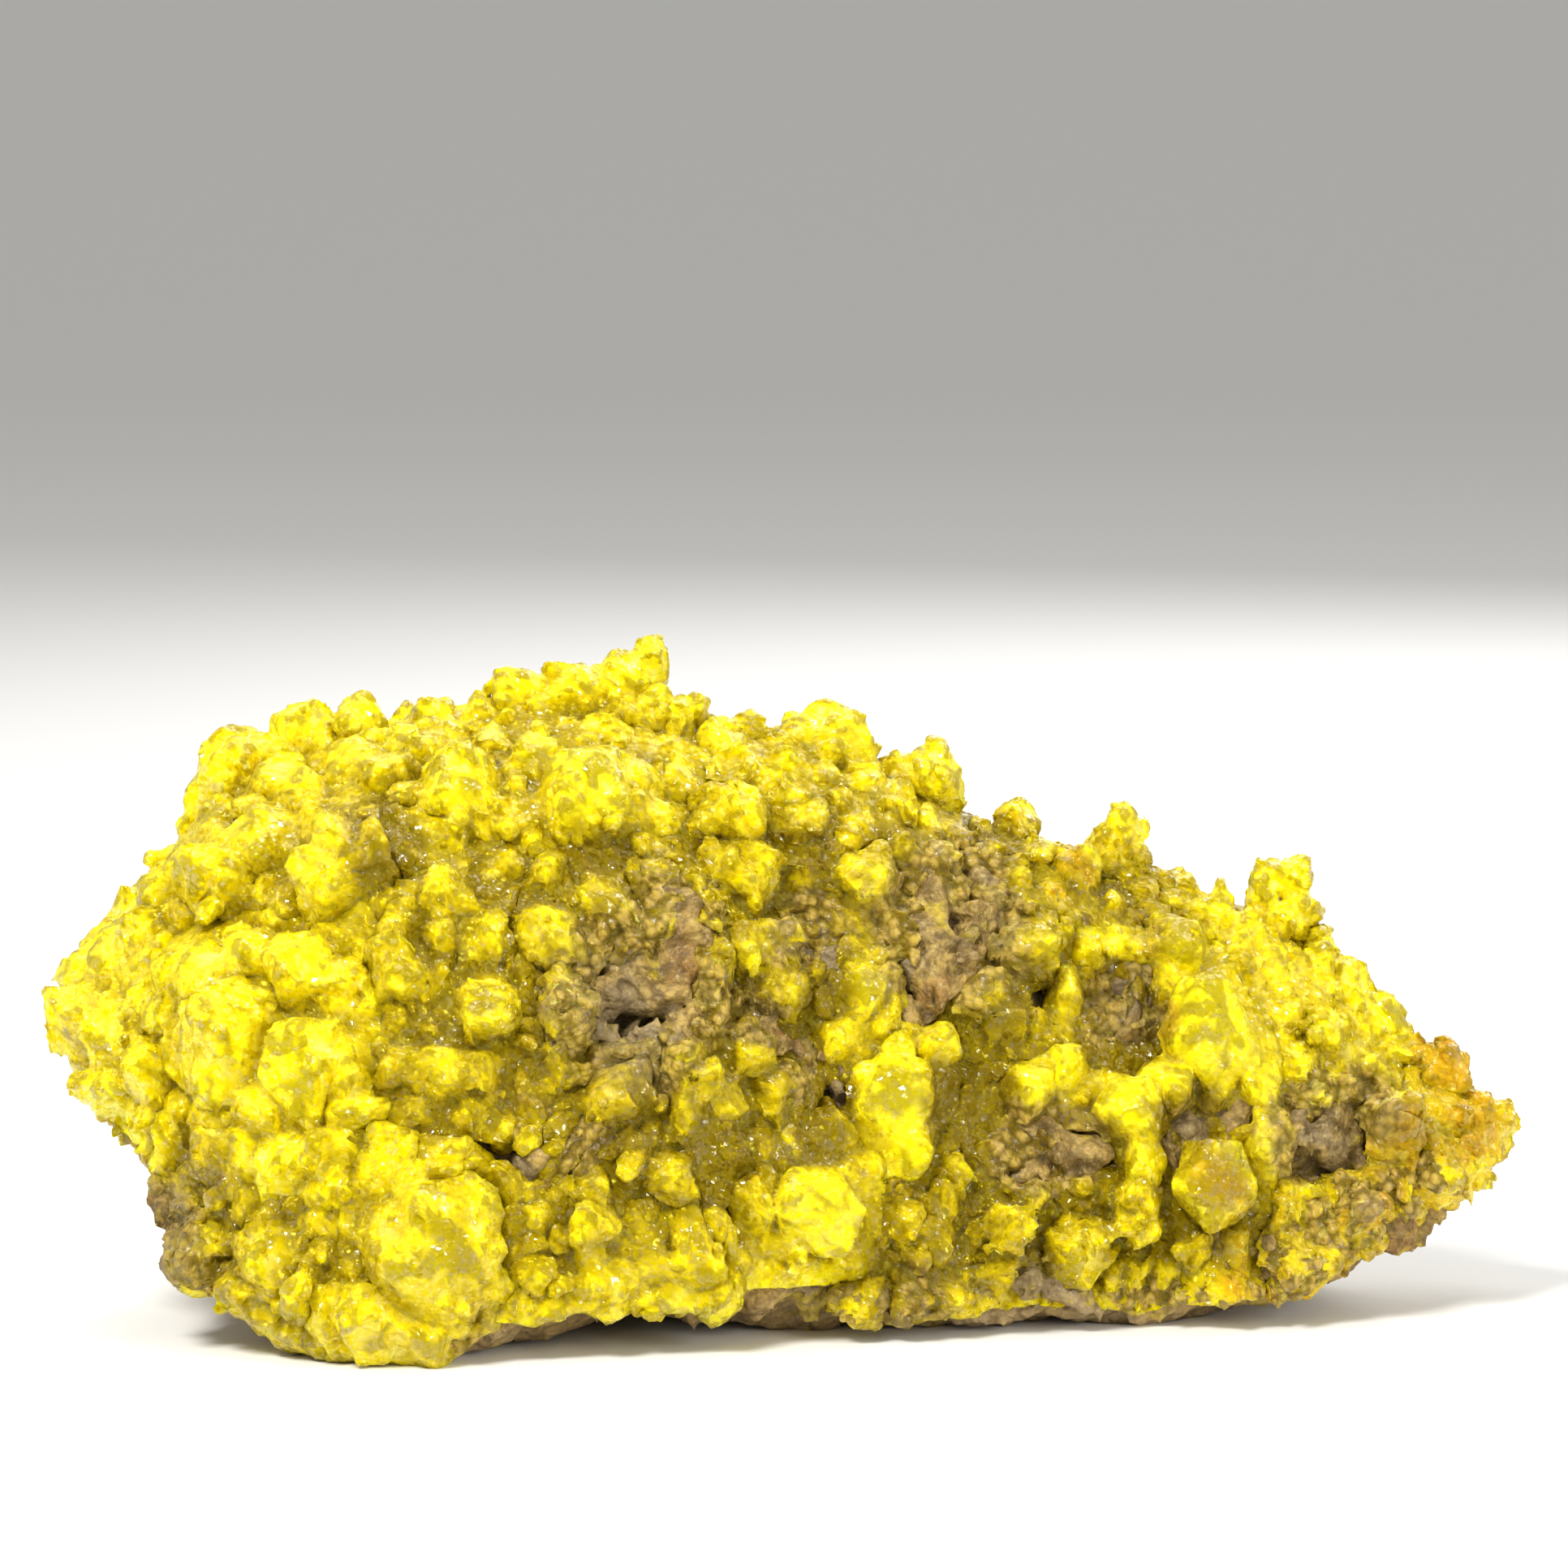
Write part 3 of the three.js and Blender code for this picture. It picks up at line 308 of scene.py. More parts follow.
class Field:
    """A distance field on a box of voxels, negative inside, with the number of the crystal that made
    each voxel's surface."""

    def __init__(self, points, triangles, voxel, pad):
        self.voxel = voxel
        self.first = np.floor((points.min(0) - pad) / voxel).astype(int)
        last = np.ceil((points.max(0) + pad) / voxel).astype(int)
        self.reach = BAND * voxel
        self.values = np.full(last - self.first + 1, self.reach, np.float32)
        self.crystal = np.zeros(self.values.shape, np.int32)
        transform = vdb.createLinearTransform(voxelSize=voxel)
        grid = vdb.FloatGrid.createLevelSetFromPolygons(
            points.astype(np.float64), triangles=triangles.astype(np.uint32),
            transform=transform, halfWidth=float(BAND))
        grid.copyToArray(self.values, ijk=tuple(int(i) for i in self.first))

    def axes(self, low, high):
        return [(np.arange(a, b) + f) * self.voxel for a, b, f in zip(low, high, self.first)]

    def add(self, centre, normals, depths, number, reach):
        """Joins a convex crystal, given by its faces, to the field."""
        shape = self.values.shape
        low = np.maximum(np.floor((centre - reach) / self.voxel).astype(int) - self.first, 0)
        high = np.minimum(np.ceil((centre + reach) / self.voxel).astype(int) - self.first + 1, shape)
        if (high <= low).any():
            return
        x, y, z = self.axes(low, high)
        x, y, z = x - centre[0], y - centre[1], z - centre[2]
        x, y, z = x[:, None, None], y[None, :, None], z[None, None]
        distance = np.full([b - a for a, b in zip(low, high)], -1e9, np.float32)
        for (nx, ny, nz), depth in zip(normals, depths):
            np.maximum(distance, nx * x + ny * y + nz * z - depth, out=distance)
        part = tuple(slice(a, b) for a, b in zip(low, high))
        nearer = distance < self.values[part]
        self.values[part][nearer] = distance[nearer]
        self.crystal[part][nearer] = number

    def blur(self, sigma):
        self.values = blurred(self.values, sigma / self.voxel)

    def sample(self, array, points):
        """The array's values at points, by the nearest voxel."""
        index = np.rint(points / self.voxel).astype(int) - self.first
        index = np.clip(index, 0, np.array(array.shape) - 1)
        return array[index[:, 0], index[:, 1], index[:, 2]]

    def surface(self, adaptivity):
        """The field's surface as points in millimetres and triangles that face outwards."""
        limit = 2.5 * self.voxel
        grid = vdb.FloatGrid(limit)
        grid.transform = vdb.createLinearTransform(voxelSize=self.voxel)
        values = np.clip(self.values, -limit, limit)
        grid.copyFromArray(values, ijk=tuple(int(i) for i in self.first), tolerance=1e-4)
        points, triangles, quads = grid.convertToPolygons(isovalue=0.0, adaptivity=adaptivity)
        faces = np.concatenate([triangles, quads[:, [0, 1, 2]], quads[:, [0, 2, 3]]])
        return points.astype(float), faces[:, ::-1].astype(np.int64)


def blurred(array, sigma):
    """A Gaussian blur, axis by axis, with the edges held."""
    size = max(1, int(math.ceil(2.5 * sigma)))
    weights = np.exp(-0.5 * (np.arange(-size, size + 1) / sigma) ** 2)
    weights = (weights / weights.sum()).astype(np.float32)
    for axis in range(3):
        pad = [(size, size) if i == axis else (0, 0) for i in range(3)]
        wide = np.pad(array, pad, mode="edge")
        total = np.zeros_like(array)
        for k, w in enumerate(weights):
            part = [slice(None)] * 3
            part[axis] = slice(k, k + array.shape[axis])
            total += w * wide[tuple(part)]
        array = total
    return array


PRIMES = np.array([73856093, 19349663, 83492791])  # that mix a cell's three numbers into one


def lattice_noise(points, size, seed):
    """Smooth noise from -1 to 1 at points, with lumps of about the given size."""
    rng = np.random.default_rng(seed)
    table = rng.uniform(-1, 1, 4096).astype(np.float32)
    scaled = points / size
    cell = np.floor(scaled).astype(np.int64)
    t = scaled - cell
    t = t * t * (3 - 2 * t)
    total = np.zeros(len(points))
    for corner in range(8):
        step = np.array([corner & 1, corner >> 1 & 1, corner >> 2 & 1])
        key = (cell + step) @ PRIMES
        weight = np.prod(np.where(step, t, 1 - t), axis=1)
        total += weight * table[(key ^ (key >> 13)) % 4096]
    return total


# ---------------------------------------------------------------- crystals

# The faces of a sulfur crystal: two steep pyramids, two flat ones, a dome and the ends.
HABIT = [(x * 0.75, y * 0.61, z * 0.32) for x in (-1, 1) for y in (-1, 1) for z in (-1, 1)]
HABIT += [(x * 0.55, y * 0.45, z * 0.72) for x in (-1, 1) for y in (-1, 1) for z in (-1, 1)]
HABIT += [(0, y * 0.88, z * 0.47) for y in (-1, 1) for z in (-1, 1)] + [(0, 0, 1), (0, 0, -1)]
HABIT = np.array([np.array(n) / np.linalg.norm(n) for n in HABIT])
HABIT_DEPTH = np.array([0.92] * 8 + [0.88] * 8 + [0.95] * 4 + [1.0] * 2)


def turned(axis, spin):
    """A rotation that takes +Z to the axis, after a spin about it."""
    axis = axis / np.linalg.norm(axis)
    helper = np.array([1.0, 0, 0]) if abs(axis[0]) < 0.9 else np.array([0, 1.0, 0])
    u = np.cross(helper, axis)
    u /= np.linalg.norm(u)
    v = np.cross(axis, u)
    c, s = math.cos(spin), math.sin(spin)
    return np.stack([c * u + s * v, -s * u + c * v, axis], axis=1)


def crystal_faces(rng, r, tall, rotation):
    """Face normals and distances of one crystal of half-width r and half-height r * tall."""
    normals = HABIT + rng.normal(0, 0.10, HABIT.shape)
    normals /= np.linalg.norm(normals, axis=1)[:, None]
    scale = np.array([1, rng.uniform(0.75, 1.1), tall * 1.05])
    stretched = normals / scale
    length = np.linalg.norm(stretched, axis=1)
    depths = r * HABIT_DEPTH * rng.uniform(0.84, 1.06, len(normals)) / length
    depths[8:16] *= rng.uniform(1.0, 1.35)
    return (stretched / length[:, None]) @ rotation.T, depths


def tree_of(points, triangles):
    """A mesh that rays can be cast on."""
    return BVHTree.FromPolygons([Vector(p) for p in points], [tuple(t) for t in triangles])


def show_face_point(tree, x, z):
    """The point of a mesh that is seen at X and Z from the front, or None."""
    hit = tree.ray_cast(Vector((x, -80, z)), Vector((0, 1, 0)))
    return None if hit[0] is None else np.array(hit[0])


def areas_of(points, triangles):
    """The cross product of each triangle's sides, and its area."""
    a, b, c = (points[triangles[:, i]] for i in range(3))
    cross = np.cross(b - a, c - a)
    return cross, np.linalg.norm(cross, axis=1) / 2


def spots(points, triangles, weights, density, rng):
    """Random places on triangles, by weight, with the number of the triangle each is on."""
    count = int(round(weights.sum() * density))
    if not count:
        return np.zeros((0, 3)), np.zeros(0, int)
    picked = rng.choice(len(weights), count, p=weights / weights.sum())
    u, v = rng.uniform(size=(2, count, 1))
    u, v = np.where(u + v > 1, 1 - u, u), np.where(u + v > 1, 1 - v, v)
    a, b, c = (points[triangles[picked, i]] for i in range(3))
    return a + u * (b - a) + v * (c - a), picked


def scatter(points, triangles, rock_tree, density, on_crystals, rng):
    """Places on the outer side of a surface, by area, with the normal there. Few of them stand on the
    large crystals, which keep their faces."""
    cross, area = areas_of(points, triangles)
    place, picked = spots(points, triangles, area, density, rng)
    normal = cross[picked] / (2 * area[picked])[:, None]
    away = np.array([rock_tree.find_nearest(Vector(p))[3] for p in place])
    keep = (away > 0.75) & ((away < CRYSTAL_START) | (rng.uniform(size=len(place)) < on_crystals))
    keep &= (normal[:, 2] > -0.25) & (place[:, 2] > LOWEST_CRYSTAL)
    return place[keep], normal[keep]


def stragglers(points, triangles, rock_tree, rng):
    """Places on the rock behind and below the ends of a crust, in lobes, so that it has no straight end.
    With each come the normal there and how far from the end it is."""
    cross, area = areas_of(points, triangles)
    x, y = points[triangles[:, 0], 0], points[triangles[:, 0], 1]
    found = []
    behind, below = y > CREST_BACK, (y > FLANK_BACK) & (np.abs(x) > FLANK_START)
    for way, side in (((0, 1, 0), behind), ((0, 0, -1), below)):
        ends = area * (cross @ np.array(way) > 1.8 * area) * side
        place, _ = spots(points, triangles, ends, STRAGGLERS, rng)
        if not len(place):
            continue
        lobe = np.clip(0.55 + 0.9 * lattice_noise(place, 7.0, 61), 0, 1)
        away = STRAGGLE * lobe * rng.uniform(0, 1, len(place))
        for p, s in zip(place, away):
            hit, normal = rock_tree.find_nearest(Vector(p + s * np.array(way)))[:2]
            if hit[2] > LOWEST_CRYSTAL:
                found.append((np.array(hit), np.array(normal), s))
    return found


# ---------------------------------------------------------------- building the pieces


SIDES = ((0, 1), (1, 0), (1, 2), (2, 1), (2, 0), (0, 2))  # of a triangle, each both ways


def vertex_normals(points, faces):
    """Area-weighted vertex normals of a mesh of triangles."""
    cross = areas_of(points, faces)[0]
    normal = np.zeros_like(points)
    for i in range(3):
        for axis in range(3):
            normal[:, axis] += np.bincount(faces[:, i], cross[:, axis], len(points))
    return normal / np.maximum(np.linalg.norm(normal, axis=1), 1e-12)[:, None]


def largest_part(points, faces):
    """The mesh without the small parts that hang free of it or lie closed inside it."""
    label = np.arange(len(points))
    ends = np.concatenate([faces[:, :2], faces[:, 1:]])
    while True:
        lowest = np.minimum(label[ends[:, 0]], label[ends[:, 1]])
        joined = label.copy()
        np.minimum.at(joined, ends[:, 0], lowest)
        np.minimum.at(joined, ends[:, 1], lowest)
        joined = joined[joined]
        if np.array_equal(joined, label):
            break
        label = joined
    kept = label == np.bincount(label).argmax()
    return points[kept], (np.cumsum(kept) - 1)[faces[kept[faces[:, 0]]]]


def sums_around(values, faces):
    """At each point of a mesh the sum of its neighbours' values. Each counts once for every triangle
    that it shares with the point."""
    return sum(np.bincount(faces[:, i], values[faces[:, j]], len(values)) for i, j in SIDES)


def edges_of(points, faces, normal):
    """How sharply the surface stands out at each point, from -1 in a crease to 1 on an edge."""
    count = np.maximum(sums_around(np.ones(len(points)), faces), 1)
    total = np.stack([sums_around(points[:, axis], faces) for axis in range(3)], axis=1)
    middle = total / count[:, None] - points
    bend = -(middle * normal).sum(1) / SULFUR_VOXEL
    return np.clip(0.5 * bend + 0.5 * sums_around(bend, faces) / count, -0.5, 0.5) * 2


def in_scene(name, data):
    """A new object of the scene."""
    obj = bpy.data.objects.new(name, data)
    bpy.context.scene.collection.objects.link(obj)
    return obj


def to_object(name, points, faces, attributes, sharp=0):
    """A Blender object of triangles, smooth but for edges sharper than the given angle."""
    mesh = bpy.data.meshes.new(name)
    mesh.vertices.add(len(points))
    mesh.vertices.foreach_set("co", (points * MM).astype(np.float32).ravel())
    mesh.loops.add(len(faces) * 3)
    mesh.loops.foreach_set("vertex_index", faces.astype(np.int32).ravel())
    mesh.polygons.add(len(faces))
    mesh.polygons.foreach_set("loop_start", np.arange(0, len(faces) * 3, 3, dtype=np.int32))
    mesh.polygons.foreach_set("use_smooth", np.ones(len(faces), bool))
    mesh.update()
    if sharp:
        mesh.set_sharp_from_angle(angle=math.radians(sharp))
    for key, values in attributes.items():
        layer = mesh.attributes.new(key, "FLOAT", "POINT")
        layer.data.foreach_set("value", values.astype(np.float32))
    return in_scene(name, mesh)


def add_lump(field, rng, place, r, tall, axis, number):
    """Joins a lump with a crystal's faces to a field."""
    normals, depths = crystal_faces(rng, r, tall, turned(axis, 0))
    field.add(place, normals, depths, number, r * 1.3 + 1.5)


def add_mounds(field, tree, rng):
    """Swellings of rock that fill the windows to near the level of the sulfur around them."""
    for x, z, wide, tall, *_ in WINDOWS:
        for _ in range(max(3, int(wide * tall / 3))):
            turn, away = rng.uniform(0, 6.28), 0.9 * math.sqrt(rng.uniform())
            px, pz = x + PLAN_X + wide * away * math.cos(turn), z + tall * away * math.sin(turn)
            place = show_face_point(tree, px, pz)
            if place is not None and 4 < pz:
                r = rng.uniform(1.4, 2.4)
                add_lump(field, rng, place - (0, 0.1 * r, 0), r, 1, rng.normal(0, 1, 3), 1)


def add_grains(field, tree, number, out, rng):
    """Grains of rock on a solid's show face, in the windows. They stand out by part of their size."""
    for x, z, wide, tall, count, small, large in WINDOWS:
        for _ in range(count):
            turn, away = rng.uniform(0, 6.28), math.sqrt(rng.uniform())
            px, pz = x + PLAN_X + wide * away * math.cos(turn), z + tall * away * math.sin(turn)
            place = show_face_point(tree, px, pz)
            if place is None:
                continue
            r = small + (large - small) * rng.uniform() ** 1.5
            height = rng.uniform(0.7, 1.1)
            add_lump(field, rng, place - (0, out * r, 0), r, height, rng.normal(0, 1, 3), number)


def relief(points, lumps, slants):
    """The height of an unevenness at points: lumps and slants are (size, height, seed)."""
    total = np.zeros(len(points))
    for size, height, seed in lumps:
        total += height * lattice_noise(points, size, seed)
    for size, height, seed in slants:
        total += height * facets(points, size, seed)
    return total


def build_rock(points, triangles):
    """The rock's field, with its mounds and grains."""
    rng = np.random.default_rng(7)
    tree = tree_of(points, triangles)
    field = Field(points, triangles, ROCK_VOXEL, ROCK_PAD)
    add_mounds(field, tree, rng)
    add_grains(field, tree_of(*field.surface(0.5)), 1, 0.4, rng)
    band = np.argwhere(np.abs(field.values) < 2.2 * ROCK_VOXEL)
    place = (band + field.first) * ROCK_VOXEL
    field.values[band[:, 0], band[:, 1], band[:, 2]] -= relief(place, ROCK_LUMPS, ROCK_SLANTS)
    field.blur(ROCK_BLUR)
    return field


def spread_out(places, spacing):
    """The indices of places that keep the spacing from every one kept before them."""
    kept = np.zeros((0, 3))
    picked = []
    for i, place in enumerate(places):
        if len(kept) and ((kept - place) ** 2).sum(1).min() < spacing ** 2:
            continue
        kept = np.vstack([kept, place])
        picked.append(i)
    return picked


def build_sulfur(name, number, rock_tree):
    """The field of one body of sulfur with its crystals, a tint for each crystal, and the number that
    its grains of rock have."""
    spacing, small, large, fine = CLUSTERS[name][:4]
    rng = np.random.default_rng(100 + number)
    points, triangles = mesh_of(frame["nodes"][name])
    tree = tree_of(points, triangles)
    field = Field(points, triangles, SULFUR_VOXEL, SULFUR_PAD)
    field.values -= SEAM_GROWTH
    count = 1

    def grow(place, axis, r, tall, number):
        normals, depths = crystal_faces(rng, r, tall, turned(axis, rng.uniform(0, 6.28)))
        field.add(place, normals, depths, number, r * max(1, tall) * 1.25 + 1.5)

    for x, z, r, tall, lean in MEDIUM[name]:
        place = show_face_point(tree, x + PLAN_X, z)
        if place is None:
            place = np.array(tree.find_nearest(Vector((x + PLAN_X, 4, z)))[0])
        tilt = math.radians(lean + rng.uniform(-12, 12))
        axis = np.array([math.sin(tilt), rng.uniform(-0.3, 0.3), math.cos(tilt)])
        grow(place + (0, 0.3 * r, 0), axis, r, tall, count)
        count += 1
    places, normals = scatter(points, triangles, rock_tree, 6 / spacing ** 2, 0.08, rng)
    for i in spread_out(places, spacing):
        r = small + (large - small) * rng.uniform() ** 1.6
        axis = UP + normals[i] * 0.5 + rng.normal(0, 0.4, 3)
        tall = rng.uniform(0.85, 1.15) + rng.uniform(0, 0.5) * (r < 2.2)
        grow(places[i] - normals[i] * r * rng.uniform(0.3, 0.65), axis, r, tall, count)
        count += 1
    own = np.random.default_rng(300 + number)
    for place, normal, behind in stragglers(points, triangles, rock_tree, own):
        r = own.uniform(0.9, 2.1) * (1 - 0.4 * behind / STRAGGLE)
        add_lump(field, own, place, r, 1, UP + normal * 0.6 + own.normal(0, 0.4, 3), count)
        count += 1
    for y, z, r in SIDE_CRYSTALS.get(name, ()):
        hit = rock_tree.ray_cast(Vector((-80, y, z)), Vector((1, 0, 0)))[0]
        add_lump(field, own, np.array(hit), r, 1, UP + own.normal(0, 0.4, 3), count)
        count += 1
    if name not in CLEAN:
        add_grains(field, tree, count, 0.1, rng)
    rock_number = count
    count += 1
    points, faces = field.surface(0.3)
    places, normals = scatter(points, faces, rock_tree, fine, 0.3, rng)
    for place, normal in zip(places, normals):
        r = 0.4 + 0.7 * rng.uniform() ** 2
        axis = UP + normal * 0.7 + rng.normal(0, 0.4, 3)
        grow(place - normal * rng.uniform(0.0, 0.3), axis, r, rng.uniform(1.0, 2.0), count)
        count += 1
    field.blur(SULFUR_BLUR)
    return field, rng.uniform(0, 1, count), rock_number


def warped(points):
    """Points moved by one smooth random flow, the same for every piece, so that seams wander."""
    flow = np.zeros_like(points)
    for axis in range(3):
        for size, height, seed in FLOWS:
            flow[:, axis] += height * lattice_noise(points, size, seed + axis)
    size, height, seed = EDGE_FLOW
    near_edge = np.clip(1 - np.abs(points[:, 1] - BACK_EDGE) / EDGE_REACH, 0, 1)
    flow[:, 1] += height * near_edge * lattice_noise(points, size, seed)
    return (points + flow) * FIT


def stained(points, column):
    """How strongly the marks of one column of the table show at points of the show face."""
    total = np.zeros(len(points))
    for row in STAINS:
        if row[column]:
            away = np.hypot(points[:, 0] - PLAN_X - row[0], points[:, 2] - row[1]) / row[2]
            total = np.maximum(total, row[column] * np.clip(1.6 - 1.2 * away, 0, 1))
    return total * np.clip((20 - points[:, 1]) / 15, 0, 1)


def settled(points):
    """Points with nothing below the surface the specimen rests on."""
    points[:, 2] = np.maximum(points[:, 2], 0)
    return points


def facets(points, size, seed):
    """A field of small flat slants, one to a cell, from about -1 to 1, which steps between cells."""
    rng = np.random.default_rng(seed)
    table = rng.uniform(-1, 1, (4096, 7))
    scaled = points / size
    cell = np.floor(scaled).astype(np.int64)
    best = np.full(len(points), 9.0)
    height = np.zeros(len(points))
    for i in (-1, 0, 1):
        for j in (-1, 0, 1):
            for k in (-1, 0, 1):
                other = cell + (i, j, k)
                key = other @ PRIMES
                row = table[(key ^ (key >> 13)) % 4096]
                offset = scaled - other - 0.5 - 0.45 * row[:, :3]
                away = (offset ** 2).sum(1)
                slant = (offset * row[:, 3:6]).sum(1) * 1.3 + 0.4 * row[:, 6]
                nearer = away < best
                height = np.where(nearer, slant, height)
                best = np.where(nearer, away, best)
    return height


def evened(values, faces, rounds):
    """Values at a mesh's points, averaged with those around them a number of times."""
    count = np.maximum(sums_around(np.ones(len(values)), faces), 1)
    for _ in range(rounds):
        values = 0.5 * (values + sums_around(values, faces) / count)
    return values


def displace(points, faces, amount, lumps, slants, rounds=0):
    """Moves points along their normals by a relief, which is evened out some rounds."""
    normal = vertex_normals(points, faces)
    shift = relief(points, lumps, slants)
    if rounds:
        shift = evened(shift, faces, rounds)
        normal = np.stack([evened(normal[:, axis], faces, rounds) for axis in range(3)], axis=1)
        normal /= np.maximum(np.linalg.norm(normal, axis=1), 1e-12)[:, None]
    steady = 1 - 0.8 * np.clip(edges_of(points, faces, normal) * 2, 0, 1)
    return points + normal * (shift * steady * amount)[:, None]


# ---------------------------------------------------------------- the scene

nodes = frame["nodes"]
rock_points, rock_triangles = mesh_of(nodes["matrix_rock"])
rock_tree = tree_of(rock_points, rock_triangles)

fields = {}
for number, name in enumerate(CLUSTERS):
    fields[name] = build_sulfur(name, number, rock_tree)

rock_field = build_rock(rock_points, rock_triangles)

# A coarse field of where there is material, to say how deep in a hollow each point is. The materials
# paint shade in hollows by it, and a painted highlight on the rock's standing parts.
low = np.array(CAD_BOX[0]) / MM - SHADE_PAD
high = np.array(CAD_BOX[1]) / MM + SHADE_PAD
shade_first = np.floor(low / SHADE_VOXEL).astype(int)
filled = np.zeros(np.ceil((high - low) / SHADE_VOXEL).astype(int) + 1, np.float32)
for field in [rock_field] + [f[0] for f in fields.values()]:
    inside = np.argwhere(field.values < 0)
    place = np.rint((inside + field.first) * field.voxel / SHADE_VOXEL).astype(int) - shade_first
    place = np.clip(place, 0, np.array(filled.shape) - 1)
    filled[place[:, 0], place[:, 1], place[:, 2]] = 1
near_fill = blurred(filled, SHADE_NEAR / SHADE_VOXEL)
wide_fill = blurred(filled, SHADE_WIDE / SHADE_VOXEL)


def fill_at(array, points):
    """How full of material a blurred field is at points."""
    index = np.rint(points / SHADE_VOXEL).astype(int) - shade_first
    index = np.clip(index, 0, np.array(array.shape) - 1)
    return array[index[:, 0], index[:, 1], index[:, 2]]


for name, (field, tints, rock_number) in fields.items():
    rough, olive_and_shade, edge_light_strength, brown = CLUSTERS[name][4:]
    points, faces = largest_part(*field.surface(SULFUR_THINNING))
    crystal = field.sample(field.crystal, points)
    grown, out = points, vertex_normals(points, faces)
    points = warped(points)
    points = displace(points, faces, rough, LUMPS, SLANTS)
    points = settled(points)
    normal = vertex_normals(points, faces)
    # The sulfur's material paints shade by how deep in a hollow a point is and by its olive value, and a
    # pale highlight on its edges, stronger where the pale value is high.
    attributes = {
        "near": fill_at(near_fill, grown + out * 0.5),
        "wide": fill_at(wide_fill, grown + out * 1.0),
        "edge": edges_of(points, faces, normal),
        "tint": tints[np.clip(crystal, 0, len(tints) - 1)],
        "olive_and_shade": np.maximum(olive_and_shade, stained(points, OLIVE_SHADE_COLUMN)),
        "amber": np.maximum(brown, stained(points, AMBER_COLUMN)),
        "rock": np.where(crystal == rock_number, 1.0, stained(points, ROCK_COLUMN)),
        "edge_light_strength": np.maximum(edge_light_strength, stained(points, EDGE_LIGHT_COLUMN)),
    }
    piece = to_object("sulfur_" + name, points, faces, attributes, SHARP_EDGE)
    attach(piece, "root")
    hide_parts(name)

grown, faces = largest_part(*rock_field.surface(ROCK_THINNING))
out = vertex_normals(grown, faces)
points = warped(grown)
behind = np.clip((points[:, 1] - BROKEN_START) / (BROKEN_FULL - BROKEN_START), 0, 1)
behind *= np.clip(points[:, 2] / 4, 0, 1)
points = settled(displace(points, faces, behind, BROKEN_LUMPS, BROKEN_SLANTS, BROKEN_ROUNDS))
# The rock's material paints shade in wide hollows and a highlight on open parts, by near and wide.
rock = to_object("rock_matrix", points, faces, {
    "height": points[:, 2] / 60,
    "near": fill_at(near_fill, grown + out * 0.5),
    "wide": fill_at(wide_fill, grown + out * 1.0),
})
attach(rock, "root")
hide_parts("matrix_rock")

# ---------------------------------------------------------------- materials


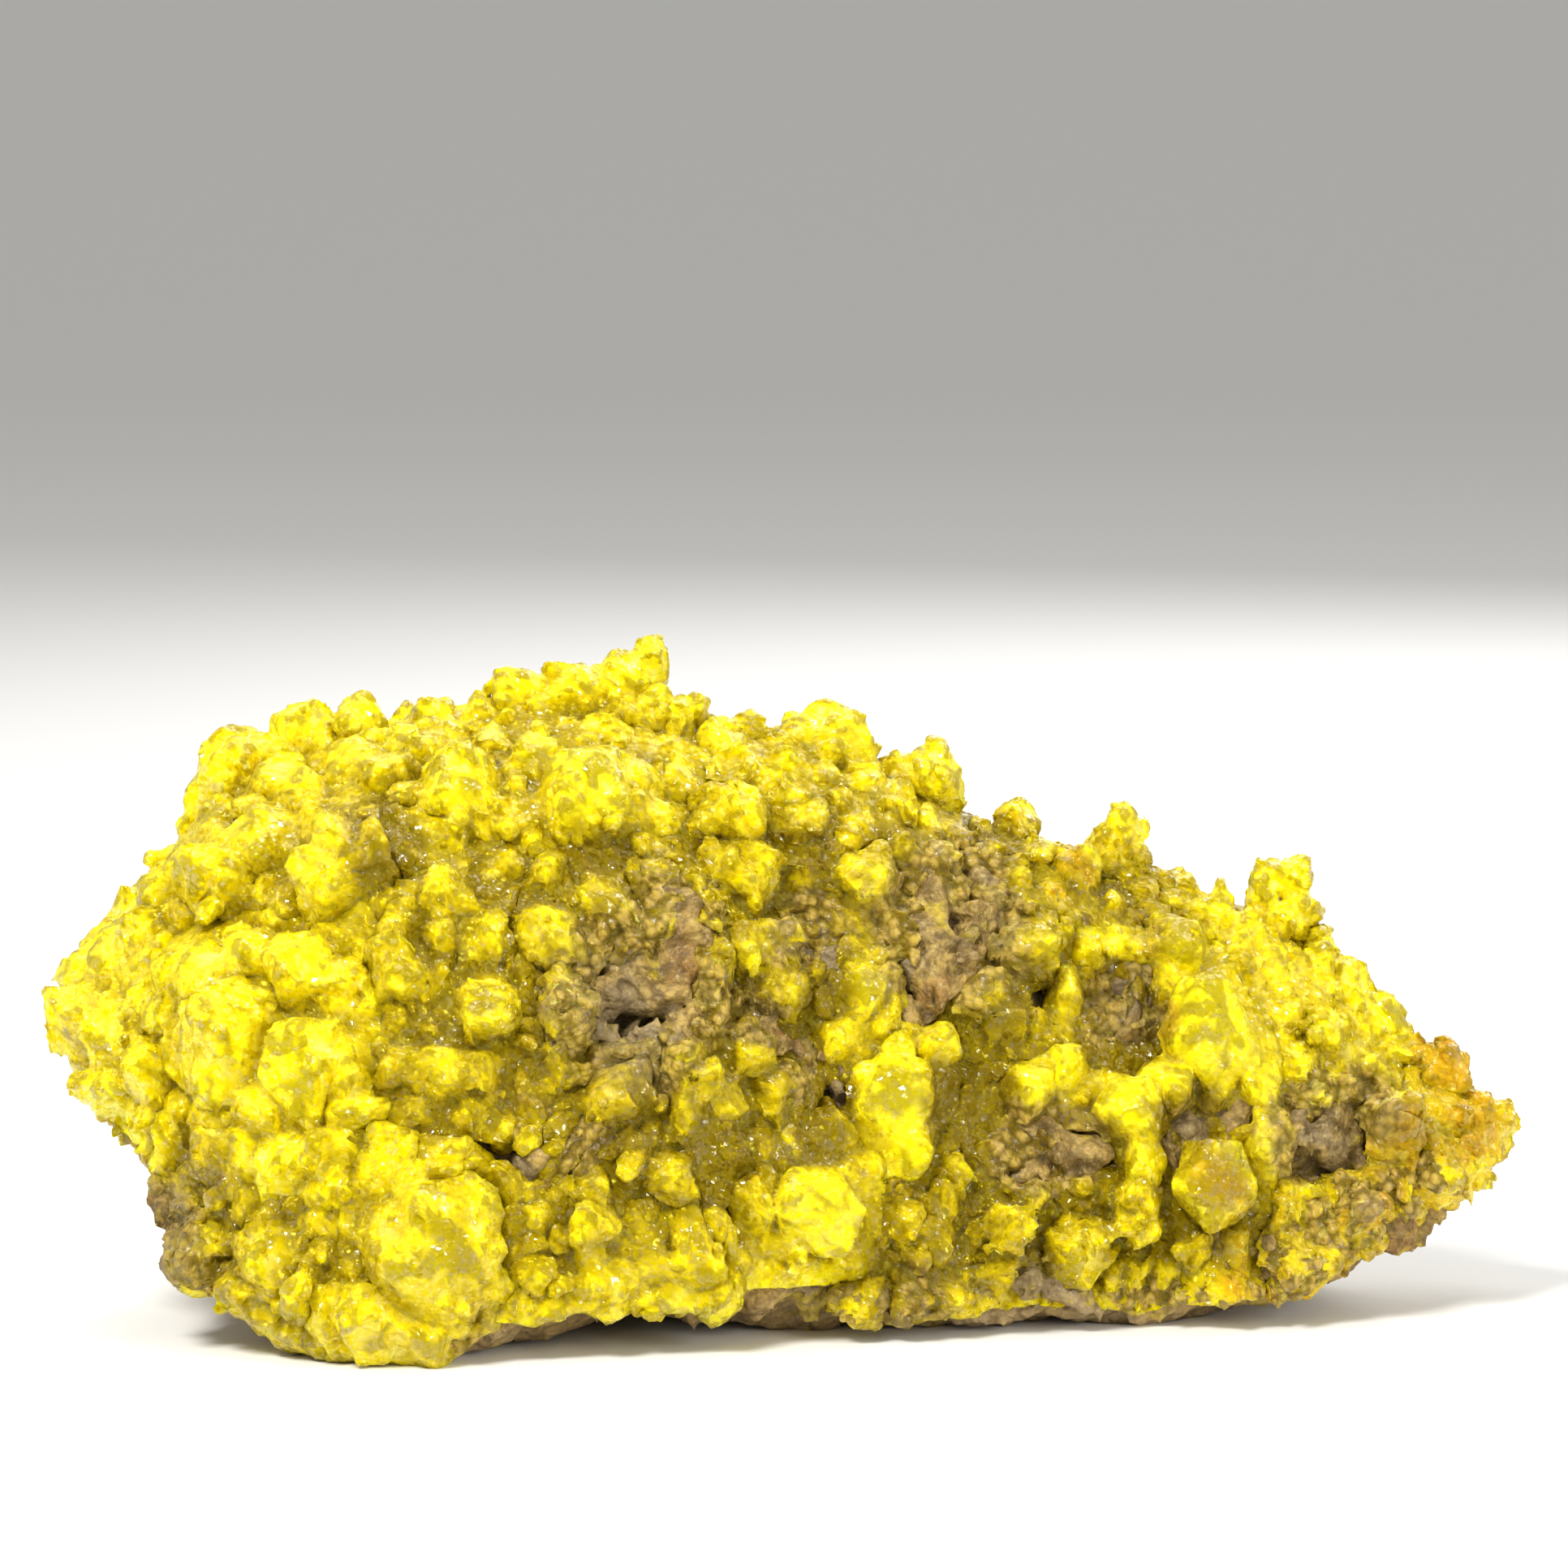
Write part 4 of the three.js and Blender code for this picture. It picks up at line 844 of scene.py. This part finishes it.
class Nodes:
    """Short calls for building one material's node tree."""

    def __init__(self, name):
        self.material = bpy.data.materials.new(name)
        self.material.use_nodes = True
        self.tree = self.material.node_tree
        self.tree.nodes.clear()
        output = self.tree.nodes.new("ShaderNodeOutputMaterial")
        self.shader = self.tree.nodes.new("ShaderNodeBsdfPrincipled")
        self.link(self.shader.outputs[0], output.inputs["Surface"])
        coordinates = self.tree.nodes.new("ShaderNodeTexCoord")
        self.place = coordinates.outputs["Object"]

    def link(self, a, b):
        """Leads an output into an input."""
        self.tree.links.new(a, b)

    def put(self, socket, value):
        """Sets an input to a number or a colour, or leads an output into it."""
        if isinstance(value, bpy.types.NodeSocket):
            self.link(value, socket)
        else:
            socket.default_value = value

    def attribute(self, name):
        node = self.tree.nodes.new("ShaderNodeAttribute")
        node.attribute_name = name
        return node.outputs["Fac"]

    def math(self, operation, a, b):
        node = self.tree.nodes.new("ShaderNodeMath")
        node.operation = operation
        self.put(node.inputs[0], a)
        self.put(node.inputs[1], b)
        return node.outputs[0]

    def add(self, a, b):
        return self.math("ADD", a, b)

    def minus(self, a, b):
        return self.math("SUBTRACT", a, b)

    def times(self, a, b):
        return self.math("MULTIPLY", a, b)

    def noise(self, size_mm, detail=3.0, rough=0.55):
        node = self.tree.nodes.new("ShaderNodeTexNoise")
        self.link(self.place, node.inputs["Vector"])
        node.inputs["Scale"].default_value = 1000 / size_mm
        node.inputs["Detail"].default_value = detail
        node.inputs["Roughness"].default_value = rough
        return node.outputs["Fac"]

    def cells(self, size_mm):
        """The distance to the nearest of scattered points, 0 at each."""
        node = self.tree.nodes.new("ShaderNodeTexVoronoi")
        self.link(self.place, node.inputs["Vector"])
        node.inputs["Scale"].default_value = 1000 / size_mm
        return node.outputs["Distance"]

    def ramp(self, value, low, high, a=0.0, b=1.0):
        """A smooth step of the value between low and high."""
        node = self.tree.nodes.new("ShaderNodeMapRange")
        node.interpolation_type = "SMOOTHSTEP"
        for key, number in zip(("From Min", "From Max", "To Min", "To Max"), (low, high, a, b)):
            node.inputs[key].default_value = number
        self.put(node.inputs["Value"], value)
        return node.outputs["Result"]

    def mix(self, factor, a, b):
        node = self.tree.nodes.new("ShaderNodeMix")
        node.data_type = "RGBA"
        self.put(node.inputs["Factor"], factor)
        self.put(node.inputs[6], a)
        self.put(node.inputs[7], b)
        return node.outputs[2]

    def slants(self, size_mm, slope):
        """Flat facets that each lean their own way, as a height in millimetres, and a tone for each."""
        node = self.tree.nodes.new("ShaderNodeTexVoronoi")
        self.link(self.place, node.inputs["Vector"])
        node.inputs["Scale"].default_value = 1000 / size_mm
        offset = self.tree.nodes.new("ShaderNodeVectorMath")
        offset.operation = "SUBTRACT"
        self.link(self.place, offset.inputs[0])
        self.link(node.outputs["Position"], offset.inputs[1])
        lean = self.tree.nodes.new("ShaderNodeVectorMath")
        lean.operation = "SUBTRACT"
        self.link(node.outputs["Color"], lean.inputs[0])
        lean.inputs[1].default_value = (0.5, 0.5, 0.5)
        height = self.tree.nodes.new("ShaderNodeVectorMath")
        height.operation = "DOT_PRODUCT"
        self.link(offset.outputs[0], height.inputs[0])
        self.link(lean.outputs[0], height.inputs[1])
        tone = self.tree.nodes.new("ShaderNodeSeparateColor")
        self.link(node.outputs["Color"], tone.inputs[0])
        return self.times(height.outputs["Value"], 2 * slope / MM), tone.outputs[0]

    def bump(self, height, strength, distance_mm, normal=None):
        node = self.tree.nodes.new("ShaderNodeBump")
        self.put(node.inputs["Height"], height)
        node.inputs["Strength"].default_value = strength
        node.inputs["Distance"].default_value = distance_mm * MM
        if normal is not None:
            self.link(normal, node.inputs["Normal"])
        return node.outputs[0]

    def set(self, **values):
        for key, value in values.items():
            self.put(self.shader.inputs[key.replace("_", " ")], value)


def colour(r, g, b):
    """A linear colour from sRGB numbers of 0 to 255."""
    return tuple(c / 12.92 if c <= 0.04045 else ((c + 0.055) / 1.055) ** 2.4
                 for c in (r / 255, g / 255, b / 255)) + (1.0,)


# Sulfur: its own colours, a painted glint, a painted edge highlight, an olive that is its own tone and
# also painted shade, a deep painted shade, and amber stains.
LEMON = colour(247, 224, 0)
BRIGHT = colour(254, 238, 12)
PAINTED_GLINT = colour(255, 244, 64)
PAINTED_EDGE_LIGHT = colour(255, 250, 136)
OLIVE_TONE_AND_SHADE = colour(206, 180, 0)
PAINTED_DEEP_SHADE = colour(122, 100, 0)
AMBER = colour(204, 146, 26)
# What reflections are tinted by, on most facets and on the few that sparkle.
SHEEN = (1.0, 0.92, 0.06, 1.0)
SPARKLE = (1.0, 1.0, 0.9, 1.0)
# Rock, from dark to light, among them painted shade for its hollows and for the gaps between its grains
# and a painted highlight for its standing parts, and the yellow dust on it.
PAINTED_HOLLOW_SHADE = colour(78, 58, 24)
PAINTED_GRAIN_GAP_SHADE = colour(76, 56, 16)
UMBER = colour(92, 70, 28)
DUSK = colour(92, 72, 36)
BARK = colour(104, 80, 22)
OCHRE = colour(118, 94, 38)
RUST = colour(150, 106, 48)
GREY = colour(138, 122, 90)
GREYISH = colour(144, 126, 82)
STONE = colour(182, 152, 78)
SAND = colour(196, 166, 84)
FOOT = colour(190, 162, 118)
PAINTED_ROCK_EDGE_LIGHT = colour(196, 172, 122)
GRAIN = colour(204, 180, 120)
DUST = colour(208, 184, 30)


def sulfur_material():
    n = Nodes("sulfur")
    broad = n.noise(9, 2)
    middle = n.noise(3, 3, 0.6)
    fine = n.noise(0.8, 4, 0.6)
    large_slant, large_tone = n.slants(2.2, 0.2)
    small_slant, small_tone = n.slants(0.9, 0.5)
    tiny_slant, tiny_tone = n.slants(0.4, 0.5)
    popcorn = n.minus(1.0, n.cells(1.1))
    near, wide, tint = n.attribute("near"), n.attribute("wide"), n.attribute("tint")
    edge, rock_part = n.attribute("edge"), n.attribute("rock")
    olive_and_shade, amber, edge_light_strength = n.attribute("olive_and_shade"), n.attribute("amber"), n.attribute("edge_light_strength")

    def covered(pattern, part, strength):
        """How much a stain covers where the pattern and its part of the surface are both high."""
        total = n.add(pattern, n.times(part, 0.8))
        return n.ramp(total, 0.72, 1.12, 0.0, strength)

    body = n.mix(n.ramp(tint, 0.1, 0.9, 0.0, 0.8), LEMON, BRIGHT)
    body = n.mix(n.ramp(middle, 0.50, 0.80, 0.0, 0.35), body, OLIVE_TONE_AND_SHADE)
    # Painted glint: a random few facets are painted pale, as if they caught the light.
    body = n.mix(n.ramp(small_tone, 0.5, 1.0, 0.0, 0.35), body, PAINTED_GLINT)
    patchy = n.add(n.times(middle, 0.8), n.times(large_tone, 0.2))
    # Olive stains in patches; the same olive value also deepens the painted shade below.
    body = n.mix(covered(patchy, olive_and_shade, 0.85), body, OLIVE_TONE_AND_SHADE)
    body = n.mix(covered(broad, amber, 0.8), body, AMBER)
    # Painted shade: the deeper a point lies in hollows, the more olive and then the darker it is painted;
    # the same value keeps the painted edge highlight out of hollows.
    shade_depth = n.add(n.times(near, 0.5), n.times(wide, 0.5))
    shade_depth = n.add(shade_depth, n.times(n.minus(middle, 0.5), 0.15))
    olive_shade = n.times(n.minus(olive_and_shade, 0.12), 0.4)
    shade_depth = n.add(shade_depth, olive_shade)
    open_air = n.ramp(shade_depth, 0.55, 0.80, 1.0, 0.1)
    body = n.mix(n.ramp(shade_depth, 0.57, 0.79, 0.0, 0.9), body, OLIVE_TONE_AND_SHADE)
    body = n.mix(n.ramp(shade_depth, 0.69, 0.91, 0.0, 0.95), body, PAINTED_DEEP_SHADE)
    # Painted shade: creases are painted darker.
    crease = n.add(edge, n.times(n.minus(fine, 0.5), 0.25))
    body = n.mix(n.ramp(crease, -0.12, -0.55, 0.0, 0.6), body, PAINTED_DEEP_SHADE)
    stony = n.mix(n.ramp(popcorn, 0.3, 0.75), BARK, SAND)
    stony = n.mix(n.ramp(broad, 0.46, 0.60, 0.0, 0.55), stony, GREYISH)
    body = n.mix(covered(patchy, rock_part, 0.9), body, stony)
    # Painted highlight: sharp edges out in the open are painted pale, more so where the pale value is high.
    ridge = n.add(crease, n.times(edge_light_strength, 0.15))
    body = n.mix(n.times(n.ramp(ridge, 0.16, 0.55, 0.0, 0.65), open_air), body, PAINTED_EDGE_LIGHT)

    grainy = n.times(n.times(popcorn, rock_part), 0.5)
    rough = n.add(grainy, n.times(fine, 0.08))
    normal = n.bump(n.add(large_slant, rough), 1.0, 1.0)
    normal = n.bump(n.add(small_slant, tiny_slant), 0.8, 1.0, normal)
    roughness = n.ramp(tiny_tone, 0.5, 0.85, 0.30, 0.09)
    roughness = n.add(roughness, n.times(rock_part, 0.35))
    n.set(Base_Color=body, Normal=normal, Roughness=roughness, Specular_IOR_Level=0.5,
          IOR=1.6, Subsurface_Weight=0.6, Subsurface_Scale=0.0015, Transmission_Weight=0.08)
    sparkle = n.ramp(tiny_tone, 0.70, 0.85)
    n.set(Specular_Tint=n.mix(sparkle, SHEEN, SPARKLE))
    n.shader.inputs["Subsurface Radius"].default_value = (1.0, 0.8, 0.04)
    return n.material


def rock_material():
    n = Nodes("rock_matrix")
    grain = n.noise(0.7, 3, 0.6)
    middle = n.noise(2.4, 4, 0.65)
    broad = n.noise(11, 3, 0.6)
    dust = n.noise(5, 4, 0.65)
    popcorn = n.minus(1.0, n.cells(1.2))
    crumbs = n.minus(1.0, n.cells(0.55))
    broken_slant, broken_tone = n.slants(4.5, 0.12)
    near, wide = n.attribute("near"), n.attribute("wide")
    body = n.mix(n.ramp(middle, 0.38, 0.62), OCHRE, STONE)
    body = n.mix(n.ramp(broad, 0.47, 0.56, 0.0, 0.7), body, GREY)
    body = n.mix(n.ramp(broad, 0.42, 0.34, 0.0, 0.6), body, RUST)
    body = n.mix(n.ramp(broken_tone, 0.4, 1.0, 0.0, 0.35), body, DUSK)
    body = n.mix(n.ramp(grain, 0.55, 0.72, 0.0, 0.6), body, GRAIN)
    body = n.mix(n.ramp(grain, 0.45, 0.30, 0.0, 0.5), body, UMBER)
    body = n.mix(n.ramp(n.attribute("height"), 0.12, 0.0, 0.0, 0.55), body, FOOT)
    body = n.mix(n.ramp(dust, 0.56, 0.66, 0.0, 0.6), body, DUST)
    # Painted highlight: standing, open parts of the rock are painted lighter.
    body = n.mix(n.ramp(near, 0.42, 0.26, 0.0, 0.45), body, PAINTED_ROCK_EDGE_LIGHT)
    # Painted shade: the rock is painted darker deep in wide hollows.
    body = n.mix(n.ramp(wide, 0.68, 0.90, 0.0, 0.6), body, PAINTED_HOLLOW_SHADE)
    # Painted shade: the gaps between grains are painted darker.
    body = n.mix(n.ramp(popcorn, 0.50, 0.2, 0.0, 0.5), body, PAINTED_GRAIN_GAP_SHADE)
    height = n.add(n.times(popcorn, 0.4), n.times(crumbs, 0.2))
    height = n.add(height, n.times(middle, 0.5))
    height = n.add(height, broken_slant)
    n.set(Base_Color=body, Normal=n.bump(height, 0.9, 1.0), Roughness=n.ramp(crumbs, 0.3, 0.9, 0.8, 0.4))
    return n.material


sulfur = sulfur_material()
for name in CLUSTERS:
    bpy.data.objects["sulfur_" + name].data.materials.append(sulfur)
rock.data.materials.append(rock_material())

# ---------------------------------------------------------------- camera, floor and light

# From here on lengths are in metres.
AIM = Vector((-0.0003, 0.0003, 0.0504))  # what the camera looks at
DISTANCE = 0.62
ELEVATION = math.radians(6.5)
SENSOR, LENS = 36, 150.2
SWEEP_START = 1.6  # where the floor begins to rise, and how far it rises
SWEEP = 2.5
FLOOR_HALF = 6
MIDDLE = (0, 0, 0.03)
# Each light's place, size, power and tone.
LIGHTS = {
    "key": ((-0.25, -0.35, 0.55), 0.2, 4.7, (1, 0.98, 0.95)),
    "fill": ((0.55, -0.45, 0.25), 0.3, 2.2, (1, 0.99, 0.97)),
    "top": ((0.05, 0.15, 0.7), 0.5, 1.5, (1, 1, 1)),
    "back": ((0.2, 0.6, 0.4), 0.4, 1.8, (1, 0.98, 0.95)),
}


def looking(obj, target):
    """Turns a camera or a light to a target."""
    obj.rotation_euler = (Vector(target) - obj.location).to_track_quat("-Z", "Y").to_euler()


def area_light(name, place, size, power, tone):
    """A square light that looks at the middle of the specimen."""
    data = bpy.data.lights.new(name, "AREA")
    data.shape = "RECTANGLE"
    data.size = data.size_y = size
    data.energy = power
    data.color = tone
    light = in_scene(name, data)
    light.location = place
    looking(light, MIDDLE)


def floor():
    """A pale sweep: flat under and around the specimen, and rising far behind it."""
    mesh = bpy.data.meshes.new("floor")
    turns = [0] + list(np.linspace(0.05, 1.5, 30))
    rises = [(SWEEP * math.sin(t), SWEEP * (1 - math.cos(t))) for t in turns]
    rows = [(-FLOOR_HALF, 0)] + [(SWEEP_START + y, z) for y, z in rises]
    vertices = [(x, y, z) for y, z in rows for x in (-FLOOR_HALF, FLOOR_HALF)]
    faces = [(2 * i, 2 * i + 1, 2 * i + 3, 2 * i + 2) for i in range(len(rows) - 1)]
    mesh.from_pydata(vertices, [], faces)
    mesh.polygons.foreach_set("use_smooth", [True] * len(faces))
    obj = in_scene("floor", mesh)
    material = bpy.data.materials.new("floor")
    material.use_nodes = True
    shader = material.node_tree.nodes["Principled BSDF"]
    shader.inputs["Base Color"].default_value = (0.86, 0.86, 0.85, 1)
    shader.inputs["Roughness"].default_value = 0.9
    mesh.materials.append(material)


camera_data = bpy.data.cameras.new("camera")
camera_data.sensor_width = SENSOR
camera_data.lens = LENS
camera = in_scene("camera", camera_data)
camera.location = AIM + DISTANCE * Vector((0, -math.cos(ELEVATION), math.sin(ELEVATION)))
looking(camera, AIM)
bpy.context.scene.camera = camera

floor()
for name, light in LIGHTS.items():
    area_light(name, *light)
world = bpy.data.worlds.new("world")
world.use_nodes = True
world.node_tree.nodes["Background"].inputs["Color"].default_value = (0.89, 0.88, 0.86, 1)
world.node_tree.nodes["Background"].inputs["Strength"].default_value = 0.5
bpy.context.scene.world = world
bpy.context.scene.view_settings.view_transform = "Standard"
